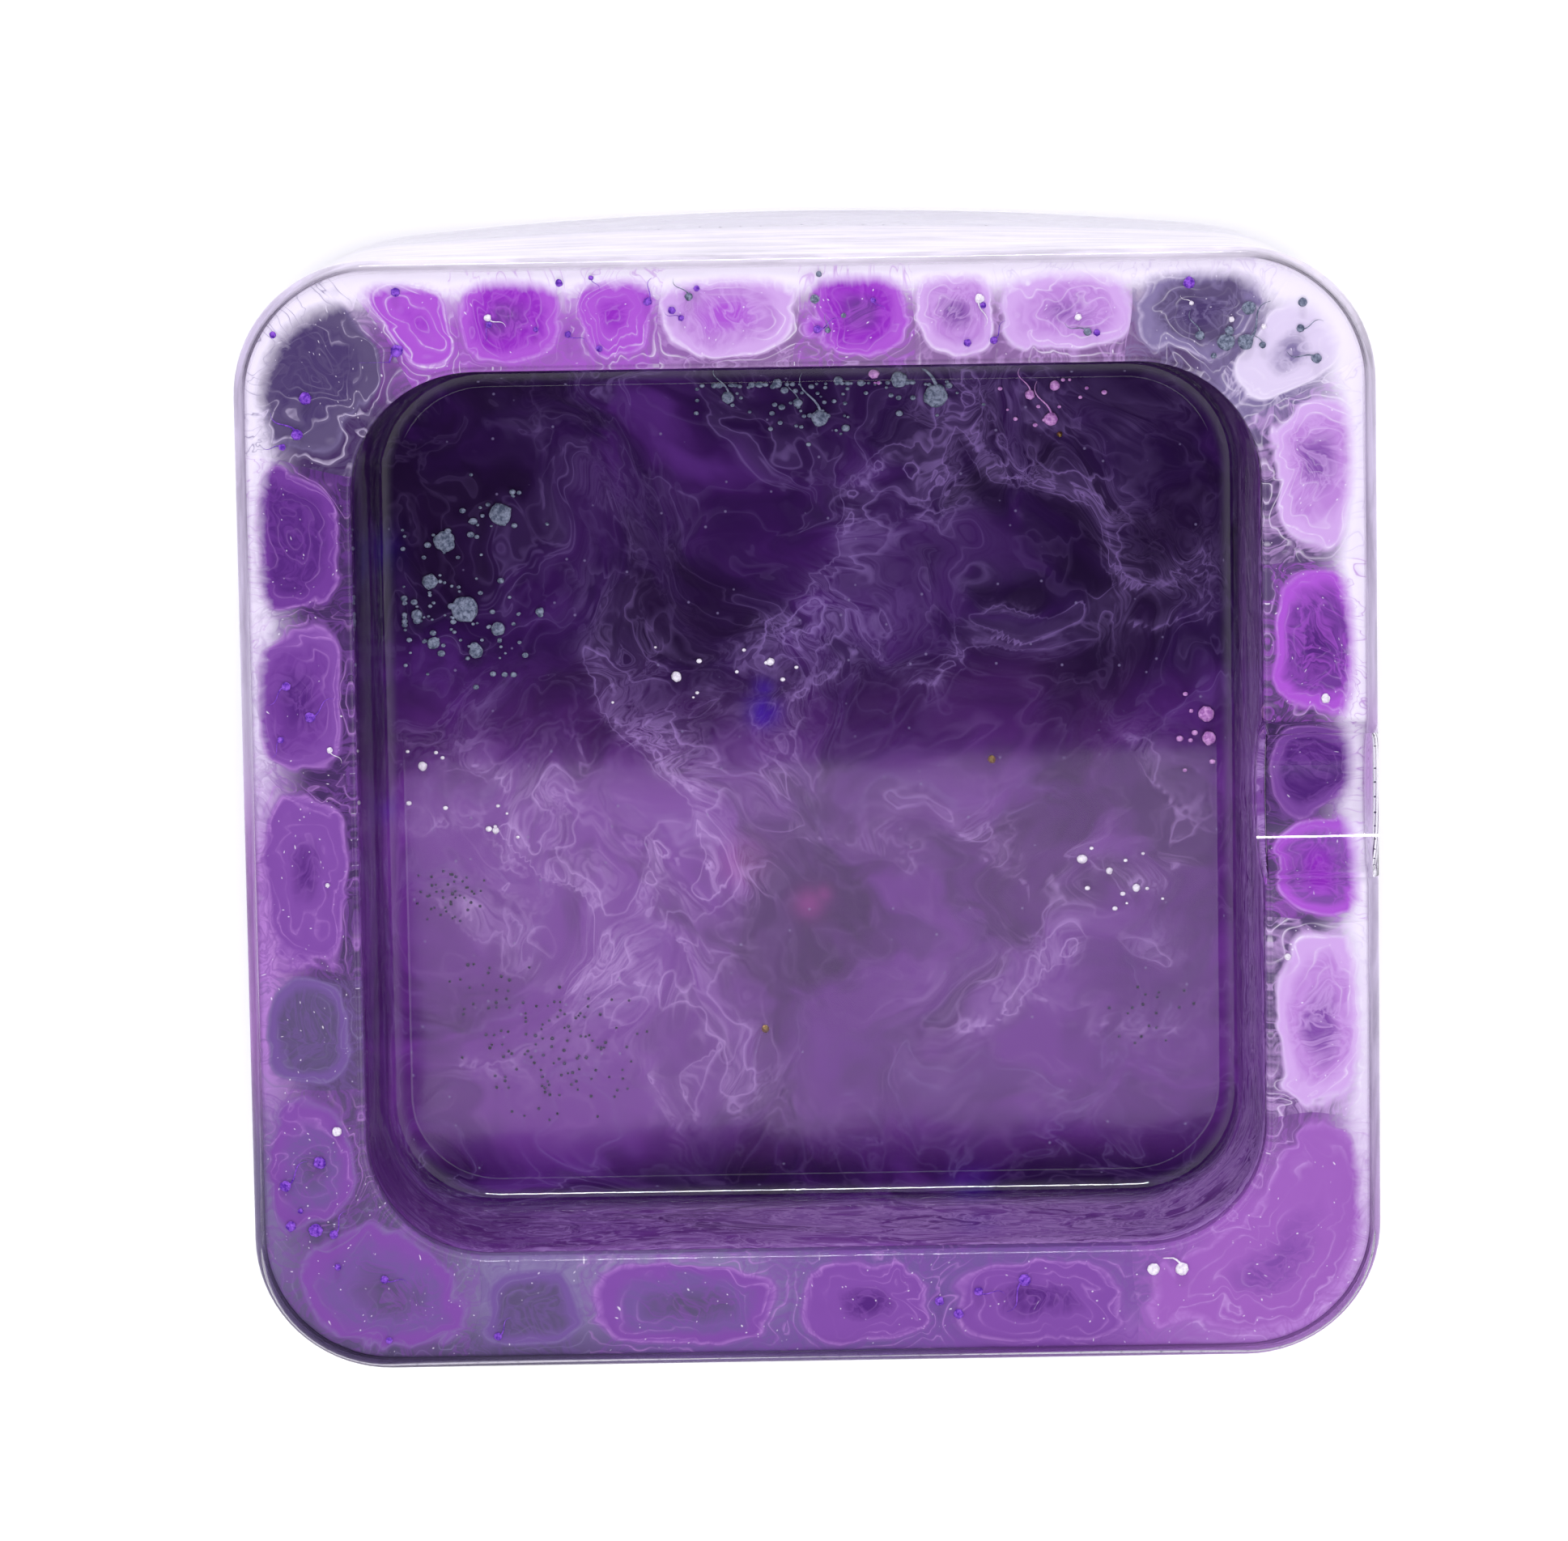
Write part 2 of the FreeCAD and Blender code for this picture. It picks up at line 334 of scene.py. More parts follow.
def ink_bloom(name, colours):
    """Alcohol ink that sank and spread in wet epoxy, then set: a deep middle, a body with curled bands of
    denser ink, a lace of fine pale contours at its edge, and combed milky haze outside. Wetted by the
    resin, it has no gloss."""
    material, tree = fresh_material(name)
    deep, body, rim, lace, thread_ink = (INKS[ink] for ink in colours[:5])
    mm = placed_in_mm(tree)
    drift = add(tree, "TexNoise", {
        "Vector": mm, "Scale": 0.12, "Detail": 2.0, "Distortion": 0.5})
    warped = stirred(tree, mm, drift, 9.0)
    curl = add(tree, "TexNoise", {
        "Vector": warped, "Scale": 0.15, "Detail": 1.6, "Distortion": 0.9})
    shell = add(tree, "Attribute", attribute_name="shell")
    depth = add(tree, "Math", {0: curl, 1: 0.6, 2: shell.outputs["Fac"]},
                operation="MULTIPLY_ADD")
    colour = add(tree, "ValToRGB", {"Fac": depth}, stops=[
        (0.42, deep), (0.72, body), (0.84, body), (1.0, rim)])
    depth_out = add(tree, "MapRange", {
        "Value": depth, "From Min": 1.08, "From Max": 1.3, "To Min": 0.0, "To Max": 1.0})
    edge = add(tree, "ValToRGB", {"Fac": depth_out}, stops=[
        (0.0, 0), (0.3, 0.55), (0.42, 0.12), (0.6, 0.5), (0.9, 0)])
    outside = add(tree, "ValToRGB", {"Fac": depth_out}, stops=[
        (0.25, 0), (0.6, 1)])
    haze = add(tree, "Attribute", attribute_name="haze")
    folds = add(tree, "Math", {0: shell.outputs["Fac"], 1: 4.5, 2: 0.3}, operation="MULTIPLY_ADD")
    turns = add(tree, "Math", {0: curl, 1: 7.0, 2: folds},
                operation="MULTIPLY_ADD")
    turn = add(tree, "Math", {0: turns}, operation="FRACT")
    contour = add(tree, "ValToRGB", {"Fac": turn}, stops=[
        (0.3, 0), (0.47, 0.85), (0.51, 0.15), (0.75, 0)])
    patches = add(tree, "TexNoise", {"Vector": warped, "Scale": 0.15, "Detail": 2.0})
    patch = add(tree, "ValToRGB", {"Fac": patches}, stops=[
        (0.42, 0.1), (0.6, 1)])
    nearness = add(tree, "MapRange", {
        "Value": depth, "From Min": 0.6, "From Max": 1.15, "To Min": 0.28, "To Max": 0.85})
    shown = add(tree, "Math", {0: patch, 1: nearness}, operation="MULTIPLY")
    lines = add(tree, "Math", {0: contour, 1: shown}, operation="MULTIPLY")
    ridge = add(tree, "TexNoise", {
        "Vector": warped, "Scale": 0.26, "Detail": 3.5, "Distortion": 1.6})
    crease = add(tree, "ValToRGB", {"Fac": ridge}, stops=[
        (0.4, 0), (0.49, 0.55), (0.51, 0.35), (0.54, 0), (0.62, 0.3),
        (0.66, 0)])
    grain = add(tree, "Attribute", attribute_name="grain")
    combed = stirred(tree, grain.outputs["Vector"], drift, 13.0)
    streaks = add(tree, "TexNoise", {
        "Vector": combed, "Scale": 0.8, "Detail": 3.0, "Distortion": 0.3})
    milk = add(tree, "Attribute", attribute_name="milk")
    thick = add(tree, "Math", {0: milk.outputs["Fac"], 1: 1.1, 2: -0.19}, operation="MULTIPLY_ADD")
    poured = add(tree, "Math", {0: streaks, 1: 0.3, 2: thick},
                 operation="MULTIPLY_ADD")
    falls = add(tree, "ValToRGB", {"Fac": poured}, stops=[
        (0.16, 0), (0.42, 0.48), (0.74, 1)])
    strands = add(tree, "TexNoise", {
        "Vector": combed, "Scale": 0.6, "Detail": 1.0, "Roughness": 0.4, "Distortion": 0.5})
    hair = add(tree, "ValToRGB", {"Fac": strands}, stops=[
        (0.42, 0), (0.485, 0.2), (0.5, 0.8), (0.52, 0.05), (0.6, 0)])
    hairs = add(tree, "Math", {0: hair, 1: falls}, operation="MULTIPLY")
    dust = add(tree, "TexVoronoi", {"Vector": warped, "Scale": 1.1, "Randomness": 1.0})
    speck = add(tree, "ValToRGB", {"Fac": dust.outputs["Distance"]}, stops=[
        (0.05, 0.7), (0.1, 0)])
    coloured = coat(tree, colour, [
        (edge, lace), (outside, haze.outputs["Color"]), (lines, thread_ink), (crease, rim),
        (falls, INKS["milk"]), (hairs, lace), (speck, INKS["milk"])])
    ink = add(tree, "BsdfPrincipled", {"Base Color": coloured, "Roughness": 0.6, "Specular IOR Level": 0.0})
    add(tree, "OutputMaterial", {"Surface": ink})
    return material


def smoky_ink():
    """Indigo and violet ink that drifted like smoke under the recess floor and up its walls: nearly black
    pools, purple clouds and thin grey-lilac wisps, folded over each other at a scale of 5 to 30 mm. The
    clouds are paler across the front of the floor, where that paleness is partly painted reflection of the
    reflector card."""
    material, tree = fresh_material("smoky_indigo_ink")
    mm = placed_in_mm(tree, 3.5)
    drift = add(tree, "TexNoise", {
        "Vector": mm, "Scale": 0.04, "Detail": 3.0, "Distortion": 0.5})
    once = stirred(tree, mm, drift, 42.0)
    curl = add(tree, "TexNoise", {
        "Vector": once, "Scale": 0.1, "Detail": 2.2, "Distortion": 0.3})
    twice = stirred(tree, once, curl, 16.0)
    pools = add(tree, "TexNoise", {
        "Vector": twice, "Scale": 0.055, "Detail": 3.5})
    dark = add(tree, "ValToRGB", {"Fac": pools}, stops=[
        (0.36, INKS["night"]), (0.5, INKS["indigo"]), (0.61, INKS["grape"]), (0.76, INKS["violet"])])
    clouds = add(tree, "TexNoise", {
        "Vector": twice, "Scale": 0.07, "Detail": 3.5, "Distortion": 0.4})
    cloud = add(tree, "ValToRGB", {"Fac": clouds}, stops=[
        (0.34, 0.42), (0.6, 1)])
    # paleness: on the floor it is highest in the band that mirrors the reflector card, so there it is partly
    # painted reflection of the card.
    paleness = add(tree, "Attribute", attribute_name="paleness")
    share = add(tree, "Math", {0: cloud, 1: paleness.outputs["Fac"]}, operation="MULTIPLY")
    folds = add(tree, "TexNoise", {
        "Vector": twice, "Scale": 0.06, "Detail": 3.5, "Distortion": 0.9})
    fold = add(tree, "ValToRGB", {"Fac": folds}, stops=[
        (0.42, 0), (0.492, 0.2), (0.5, 0.7), (0.512, 0.1), (0.55, 0)])
    veils = add(tree, "TexNoise", {"Vector": once, "Scale": 0.05, "Detail": 2.0})
    veil = add(tree, "ValToRGB", {"Fac": veils}, stops=[
        (0.45, 0.04), (0.66, 0.6)])
    wisp = add(tree, "Math", {0: fold, 1: veil}, operation="MULTIPLY")
    plume = add(tree, "Attribute", attribute_name="plume")
    torn = add(tree, "TexNoise", {
        "Vector": twice, "Scale": 0.12, "Detail": 4.0, "Roughness": 0.55, "Distortion": 1.1})
    tear = add(tree, "ValToRGB", {"Fac": torn}, stops=[
        (0.34, 0.1), (0.44, 0.35), (0.475, 1), (0.51, 0.3), (0.56, 0.85),
        (0.63, 0.1)])
    plumed = add(tree, "Math", {0: plume.outputs["Fac"], 1: tear}, operation="MULTIPLY")
    swirl = add(tree, "Math", {0: plume.outputs["Fac"], 1: 2.6}, operation="MULTIPLY")
    eddies = add(tree, "TexNoise", {
        "Vector": once, "Scale": 0.11, "Detail": 3.0, "Distortion": 0.4})
    eddy = add(tree, "Math", {0: eddies, 1: 5.0, 2: swirl},
               operation="MULTIPLY_ADD")
    lap = add(tree, "Math", {0: eddy}, operation="FRACT")
    filament = add(tree, "ValToRGB", {"Fac": lap}, stops=[
        (0.3, 0), (0.48, 0.85), (0.51, 0.15), (0.7, 0)])
    near = add(tree, "MapRange", {
        "Value": plume.outputs["Fac"], "From Min": 0.08, "From Max": 0.5, "To Min": 0.1, "To Max": 0.9})
    strung = add(tree, "Math", {0: filament, 1: near}, operation="MULTIPLY")
    smoke = coat(tree, INKS["wisp"], [(paleness.outputs["Fac"], INKS["vapour"])])
    blue = add(tree, "Attribute", attribute_name="blue")
    blot = add(tree, "Math", {0: blue.outputs["Fac"], 1: cloud}, operation="MULTIPLY")
    pink = add(tree, "Attribute", attribute_name="pink")
    blush = add(tree, "Math", {0: pink.outputs["Fac"], 1: cloud}, operation="MULTIPLY")
    dust = add(tree, "TexVoronoi", {"Vector": mm, "Scale": 0.5, "Randomness": 1.0})
    speck = add(tree, "ValToRGB", {"Fac": dust.outputs["Distance"]}, stops=[
        (0.04, 0.6), (0.08, 0)])
    coloured = coat(tree, dark, [
        (share, INKS["amethyst"]), (wisp, INKS["wisp"]), (plumed, smoke), (strung, smoke),
        (blot, INKS["ultramarine"]), (blush, INKS["fuchsia"]), (speck, INKS["fog"])])
    ink = add(tree, "BsdfPrincipled", {"Base Color": coloured, "Roughness": 0.6, "Specular IOR Level": 0.0})
    add(tree, "OutputMaterial", {"Surface": ink})
    return material


def milky_veil():
    """White ink thinned to a translucent milk just under the outer wall, in streaks that hang down it."""
    material, tree = fresh_material("milky_white_veil")
    grain = add(tree, "Attribute", attribute_name="grain")
    streaks = add(tree, "TexNoise", {
        "Vector": grain.outputs["Vector"], "Scale": 1.0, "Detail": 5.0, "Roughness": 0.6, "Distortion": 0.4})
    streak = add(tree, "ValToRGB", {"Fac": streaks}, stops=[
        (0.3, 0.6), (0.6, 1)])
    milk = add(tree, "Attribute", attribute_name="milk")
    cover = add(tree, "Math", {0: streak, 1: milk.outputs["Fac"]}, operation="MULTIPLY")
    haze = add(tree, "Attribute", attribute_name="haze")
    shade = add(tree, "ValToRGB", {"Fac": streaks}, stops=[
        (0.3, 0.74), (0.6, 0.9)])
    tint = add(tree, "Mix", {
        0: 1.0, 6: haze.outputs["Color"], 7: shade}, data_type="RGBA", blend_type="MULTIPLY")
    below = add(tree, "Attribute", attribute_name="below")
    greyed = coat(tree, tint.outputs[2], [(below.outputs["Fac"], INKS["resin"])])
    ink = add(tree, "BsdfPrincipled", {
        "Base Color": greyed, "Roughness": 0.6, "Specular IOR Level": 0.0, "Alpha": cover})
    add(tree, "OutputMaterial", {"Surface": ink})
    return material


def pigment(name, dark, light):
    """Dry alcohol-ink pigment clotted into a speck: matt, mottled, pitted at about a quarter of a
    millimetre."""
    material, tree = fresh_material(name)
    place = add(tree, "TexCoord")
    mottle = add(tree, "TexNoise", {
        "Vector": place.outputs["Object"], "Scale": 2600.0, "Detail": 3.0, "Roughness": 0.7})
    colour = add(tree, "ValToRGB", {"Fac": mottle}, stops=[(0.38, dark), (0.62, light)])
    pits = add(tree, "Bump", {"Height": mottle, "Strength": 0.5, "Distance": 0.0001})
    clot = add(tree, "BsdfPrincipled", {
        "Base Color": colour, "Roughness": 0.6, "Specular IOR Level": 0.1,
        "Normal": pits.outputs["Normal"]})
    add(tree, "OutputMaterial", {"Surface": clot})
    return material


def gold_foil():
    """Imitation gold leaf, a crumpled metal foil: a soft metallic glint broken up by creases."""
    material, tree = fresh_material("imitation_gold_leaf")
    place = add(tree, "TexCoord")
    creases = add(tree, "TexVoronoi", {"Vector": place.outputs["Object"], "Scale": 5000.0})
    colour = add(tree, "ValToRGB", {"Fac": creases.outputs["Distance"]}, stops=[
        (0.1, "#c8963c"), (0.7, "#f0d27a")])
    bump = add(tree, "Bump", {"Height": creases.outputs["Distance"], "Strength": 0.6, "Distance": 0.0001})
    foil = add(tree, "BsdfPrincipled", {
        "Base Color": colour, "Metallic": 1.0, "Roughness": 0.35, "Normal": bump.outputs["Normal"]})
    add(tree, "OutputMaterial", {"Surface": foil})
    return material


def shadowed_bubble():
    """A trapped air bubble 0.2 to 0.4 mm across: its shell bends light away, so it reads as a dark, dull
    bead."""
    material, tree = fresh_material("trapped_air_bubble")
    place = add(tree, "TexCoord")
    cloud = add(tree, "TexNoise", {"Vector": place.outputs["Object"], "Scale": 900.0, "Detail": 2.0})
    colour = add(tree, "ValToRGB", {"Fac": cloud}, stops=[
        (0.35, "#21153a"), (0.65, "#4a3a68")])
    air = add(tree, "BsdfPrincipled", {
        "Base Color": colour, "Roughness": 0.2, "Specular IOR Level": 0.15})
    add(tree, "OutputMaterial", {"Surface": air})
    return material


# ------------------------------------------------------------------ inks and blooms

INKS = {name: linear(colour) for name, colour in {
    "night": "#170b28", "indigo": "#220e3a", "grape": "#33144f", "violet": "#542a78", "plum": "#6f3d92",
    "purple": "#7f4ea0", "magenta": "#9230ba", "orchid": "#ab58cc", "heather": "#b987d0",
    "lilac": "#cfa9e2", "mist": "#ddd2ea", "milk": "#f3eef8", "slate": "#4b3c68", "smoke": "#5d5174",
    "fog": "#8478a0", "dusk": "#725795", "wisp": "#846aa6", "pit": "#45305c", "thistle": "#9c62b6",
    "margin": "#8c6a9c", "shadow": "#5b4a70", "amethyst": "#723892", "resin": "#bbb8c8",
    "vapour": "#b08cc8", "ultramarine": "#3c14a8", "fuchsia": "#c24fae"}.items()}

# Each bloom's middle, body, bright edge, lace, threads, the haze on its recess side and the haze outside
# it.
BLOOMS = {node: colours.split() for node, colours in {
    "ink_left_1": "violet violet plum heather heather pit mist",
    "ink_left_2": "violet plum purple heather heather pit mist",
    "ink_left_3": "violet purple purple heather heather pit heather",
    "ink_left_4": "smoke smoke dusk fog fog shadow heather",
    "ink_left_5": "smoke dusk purple fog heather shadow fog",
    "ink_back_1": "magenta orchid orchid milk milk thistle milk",
    "ink_back_2": "plum magenta orchid lilac lilac thistle milk",
    "ink_back_3": "magenta orchid orchid lilac milk thistle milk",
    "ink_back_4": "orchid heather lilac milk milk margin milk",
    "ink_back_5": "plum magenta orchid lilac lilac margin milk",
    "ink_back_6": "plum heather lilac milk milk margin milk",
    "ink_back_7": "purple heather lilac mist milk margin milk",
    "ink_right_1": "purple heather lilac mist milk shadow mist",
    "ink_right_2": "violet plum orchid heather lilac shadow mist",
    "ink_right_3": "violet violet purple heather heather pit lilac",
    "ink_right_4": "magenta purple orchid lilac heather shadow mist",
    "ink_right_5": "purple heather lilac mist milk shadow mist",
    "ink_front_1": "smoke smoke dusk fog fog fog smoke",
    "ink_front_2": "smoke dusk purple heather heather fog dusk",
    "ink_front_3": "violet purple purple heather heather dusk dusk",
    "ink_front_4": "violet purple purple heather heather dusk purple",
    "ink_corner_back_left": "slate slate smoke fog mist pit mist",
    "ink_corner_back_right": "slate smoke fog mist milk shadow milk",
    "ink_corner_pale": "fog mist mist milk milk fog milk",
    "ink_corner_front_left": "smoke dusk purple fog fog smoke smoke",
    "ink_corner_front_right": "purple thistle thistle heather lilac thistle heather",
}.items()}
# Where across the lane a bloom's length is read, how far it stops short of the line between it and the
# next (less than nothing, as they lap), its highest level and the rounding of its edges.
MIDLINE = 0.7
BLOOM_GAP = -0.12
BLOOM_TOP = 19.0
BLOOM_ROUND = 0.14


def bloom_spans():
    """Each bloom's start and end along the rim, in millimetres, meeting its neighbours halfway across their
    gap."""
    found = []
    step = 0.25
    for node in BLOOMS:
        low, high = (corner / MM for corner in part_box(node))
        inside = []
        for count in range(int(WHOLE_RUN / step)):
            point = rim_point(count * step, MIDLINE)
            if low.x < point.x < high.x and low.y < point.y < high.y:
                inside.append(count * step)
        found.append([node, min(inside), max(inside)])
    found.sort(key=lambda span: span[1])
    spans = {}
    for index, (node, start, end) in enumerate(found):
        before = found[index - 1][2] - (WHOLE_RUN if index == 0 else 0)
        after = found[(index + 1) % len(found)][1] + (WHOLE_RUN if index == len(found) - 1 else 0)
        spans[node] = ((before + start) / 2, (end + after) / 2)
    return spans


def haze_at(run, across, spans):
    """The colour of the thin ink between blooms, eased from one bloom's haze to the next along the rim."""
    nodes = list(spans)
    middles = [sum(spans[node]) / 2 for node in nodes]
    run %= WHOLE_RUN
    index = max((i for i, middle in enumerate(middles) if middle <= run), default=-1)
    here = nodes[index]
    there = nodes[(index + 1) % len(nodes)]
    start = middles[index] - (WHOLE_RUN if index == -1 else 0)
    end = middles[(index + 1) % len(nodes)] + (WHOLE_RUN if index == len(nodes) - 1 else 0)
    share = smooth(start, end, run)
    inner = Vector(INKS[BLOOMS[here][5]]).lerp(Vector(INKS[BLOOMS[there][5]]), share)
    outer = Vector(INKS[BLOOMS[here][6]]).lerp(Vector(INKS[BLOOMS[there][6]]), share)
    return inner.lerp(outer, smooth(0.4, 1.0, across))


def milkiness(x, y):
    """How much white ink there is: most along the back of the dish, next to none at the front."""
    return 0.04 + 0.96 * smooth(-50.0, 44.0, y + 0.42 * x)


def gridded_block(length, width, height, round_over, spacing):
    """A block with rounded edges, cut across all over at an even spacing, standing on its start corner."""
    bm = bmesh.new()
    bmesh.ops.create_cube(bm, size=1.0)
    bmesh.ops.translate(bm, verts=bm.verts, vec=(0.5, 0.5, 0.5))
    bmesh.ops.scale(bm, verts=bm.verts, vec=(length, width, height))
    bmesh.ops.bevel(
        bm, geom=list(bm.edges), offset=round_over, segments=3, profile=0.5, affect="EDGES", material=-1)
    for axis, extent in enumerate((length, width, height)):
        pitch = spacing * (3 if axis == 2 else 1)
        cuts = int(extent / pitch)
        normal = Vector((0, 0, 0))
        normal[axis] = 1.0
        for cut in range(1, cuts):
            geometry = bm.verts[:] + bm.edges[:] + bm.faces[:]
            bmesh.ops.bisect_plane(
                bm, geom=geometry, dist=1e-5, plane_co=normal * extent * cut / cuts, plane_no=normal)
    return bm


def grow_bloom(node, spans, sizes):
    """One ink bloom: a rounded block laid along the rim, bent round its corner, domed on top and ragged
    beneath."""
    start, end = spans[node]
    start, end = start + BLOOM_GAP, end - BLOOM_GAP
    low, high = (corner.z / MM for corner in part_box(node))
    width = LANE_OUT - LANE_IN
    depth = high - low
    bm = gridded_block(end - start, width, depth, BLOOM_ROUND, sizes.grid)
    shell = bm.verts.layers.float.new("shell")
    milk = bm.verts.layers.float.new("milk")
    grain = bm.verts.layers.float_vector.new("grain")
    haze = bm.verts.layers.float_color.new("haze")
    middle, reach = (start + end) / 2, (end - start) / 2
    seed = Vector((middle, 0, 0))
    for vert in bm.verts:
        run = start + vert.co.x
        across = vert.co.y / width
        up = vert.co.z / depth
        wander = noise.noise(Vector((run * 0.22, across * 1.6, 3.0)))
        u = (run - middle + 0.6 * wander) / reach
        v = (across - 0.5) / 0.48
        reach_out = (abs(u) ** 3 + abs(v) ** 3) ** (1 / 3)
        vert[shell] = reach_out
        inward = 1 - 0.03 * (1 - up) * (1 + noise.noise(Vector((run * 0.5, up * 2, 9.0))))
        sway = 1.3 * noise.noise(Vector((rim_point(run, 0.5) * 0.13).to_tuple() + (across * 1.2,)))
        flat = rim_point(middle + (run - middle) * inward + sway, 0.5 + (across - 0.5) * inward)
        top = min(ceiling(flat.x, flat.y, 1.0), BLOOM_TOP)
        ragged = 1.2 * noise.noise(Vector((flat.x, flat.y, 5.0)) * 0.35 + seed)
        bottom = low + 0.8 + max(ragged, -0.7)
        drop = sizes.dome * min(reach_out, 1.1) ** 2 + 0.1 * noise.noise(Vector((flat.x, flat.y, 0)) * 0.6)
        height = bottom + (top - bottom) * up - drop * up
        vert.co = Vector((*inside_wall(flat, height), height)) * MM
        beside_wall = smooth(0.55, 1.0, across) * (0.35 + 0.65 * smooth(0.5, 1.1, reach_out))
        vert[milk] = milkiness(flat.x, flat.y) * (beside_wall + 0.1 * smooth(0.8, 1.1, reach_out))
        vert[grain] = Vector((run * 1.5, across * 1.8, height * 0.25))
        vert[haze] = haze_at(run, across, spans)
    face_outwards(bm)
    material = ink_bloom(node.replace("ink_", "") + "_ink", BLOOMS[node])
    stand_in(piece(node.replace("ink_", "bloom_"), bm, material), node)


def inside_wall(flat, height):
    """Draws a place near a corner in by as much as the wall's corners are rounder there than at the rim."""
    corner = smooth(33.0, 46.0, min(abs(flat.x), abs(flat.y)))
    pull = 1.9 * corner * (1 - height / HEIGHT) * smooth(40.0, 52.0, flat.length * 0.85)
    return flat - flat.normalized() * pull


def islands(node):
    """The centre and plan radius, in metres, of every separate solid in a CAD node."""
    bm = bmesh.new()
    bm.from_mesh(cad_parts[node].data)
    bmesh.ops.remove_doubles(bm, verts=bm.verts, dist=1e-6)
    left = set(bm.verts)
    found = []
    while left:
        group, edge = set(), [left.pop()]
        while edge:
            vert = edge.pop()
            group.add(vert)
            for link in vert.link_edges:
                other = link.other_vert(vert)
                if other in left:
                    left.discard(other)
                    edge.append(other)
        low = Vector([min(v.co[axis] for v in group) for axis in range(3)])
        high = Vector([max(v.co[axis] for v in group) for axis in range(3)])
        found.append(((low + high) / 2, (high.x - low.x) / 2))
    bm.free()
    return sorted(found, key=lambda place: tuple(place[0]))


# Fine specks beside the CAD groups' own, in the clear resin over the blooms: x, y and radius in
# millimetres.
FINE_SPECKS = {
    "rim_violet_droplets": [
        (-27.5, 44.2, 0.28), (-23.4, 43.7, 0.22), (-20.6, 43.2, 0.3), (-17.9, 41.9, 0.3), (-13.6, 46.0, 0.36),
        (-11.5, 45.2, 0.33), (-10.7, 44.5, 0.26), (-9.3, 47.1, 0.26), (-18.5, 48.2, 0.22),
        (-21.3, 47.8, 0.33),
        (1.2, 43.3, 0.36), (14.3, 41.9, 0.33), (16.6, 42.1, 0.33), (15.7, 45.2, 0.28), (18.3, -42.8, 0.55),
        (10.7, -44.6, 0.4), (6.1, 45.8, 0.24), (25.6, 42.6, 0.3)],
    "rim_slate_droplets": [
        (1.4, 48.2, 0.26), (2.1, 43.2, 0.26), (3.5, 44.5, 0.22), (24.8, 42.7, 0.36), (37.2, 42.6, 0.4),
        (40.1, 41.3, 0.3), (35.8, 40.4, 0.26)],
    "rim_white_droplets": [
        (15.4, 45.8, 0.42), (-42.5, -28.2, 0.42), (-42.8, -5.8, 0.2), (-42.3, 6.4, 0.26), (41.9, -13.7, 0.3),
        (45.4, 9.6, 0.4), (33.9, 45.1, 0.2)],
}


def add_speck(bm, centre, radius, height, heading=None):
    """One clot of pigment: a flattened, lumpy ball. Given a heading, it has a fine tail that ink drew out
    that way."""
    ball = bmesh.ops.create_icosphere(bm, subdivisions=3, radius=radius)["verts"]
    for vert in ball:
        lump = 1 + 0.22 * noise.noise(vert.co / radius * 1.7 + centre * 3000)
        vert.co = Vector((vert.co.x * lump, vert.co.y * lump, vert.co.z * lump * height / radius)) + centre
    if heading is not None:
        loft(bm, tail_rings(centre / MM, radius / MM, heading))


def tail_rings(start, radius, heading):
    """Rings along a curved, thinning thread of ink that runs out from a speck."""
    length = radius * 6
    rings = []
    for step in range(12):
        share = step / 11
        bend = heading + 0.9 * math.sin(share * 2.2)
        ahead = Vector((math.cos(bend), math.sin(bend), 0))
        aside = Vector((-math.sin(bend), math.cos(bend), 0))
        thick = radius * 0.2 * (1 - 0.8 * share)
        around = [aside * math.cos(turn) + Vector((0, 0, 0.6 * math.sin(turn)))
                  for turn in (math.tau * side / 8 for side in range(8))]
        middle = start + ahead * length * share
        if start.z > FLOOR_Z:
            reach = max(abs(middle.x), abs(middle.y))
            middle.xy *= min(max(reach, TAIL_IN), TAIL_OUT) / reach
        middle.z = min(middle.z, ceiling(middle.x, middle.y, 0.6))
        rings.append([middle + way * thick for way in around])
    return rings


def pigment_group(node, material, height, tails, crumbs=0):
    """Replaces a CAD group of discs with lumpy specks. Every so many have a tail, and each may shed small
    crumbs."""
    bm = bmesh.new()
    found = islands(node)
    level = found[0][0].z
    found += [(Vector((x * MM, y * MM, level)), radius * MM) for x, y, radius in FINE_SPECKS.get(node, [])]
    for index, (centre, radius) in enumerate(found):
        heading = None
        if tails and index % tails == 0:
            heading = noise.noise(centre / MM * 2.0) * math.tau
        elif node.startswith("floor") and STEM_ROW < centre.y / MM < STEM_ROW + STEM_DEPTH:
            heading = TURN * 0.75
        add_speck(bm, centre, radius, height * MM, heading)
        for crumb in range(crumbs):
            toss = noise.noise_vector(centre * 900 + Vector((crumb * 3.7, index * 1.3, crumb))) * 7.0 * MM
            size = (0.1 + 0.34 * abs(noise.noise(toss * 4000))) * MM
            ball = bmesh.ops.create_icosphere(bm, subdivisions=2, radius=size)["verts"]
            place = centre + Vector((toss.x, toss.y * 0.8, 0))
            reach = (RECESS_FLOOR_HALF - 2.5) * MM
            place.x = min(max(place.x, -reach), reach)
            place.y = min(max(place.y, -reach), reach)
            for vert in ball:
                vert.co = Vector((vert.co.x * 1.2, vert.co.y, vert.co.z * 0.6)) + place
    face_outwards(bm)
    stand_in(piece(node.replace("droplets", "specks").replace("flecks", "flakes"), bm, material), node)


# ------------------------------------------------------------------ add-on

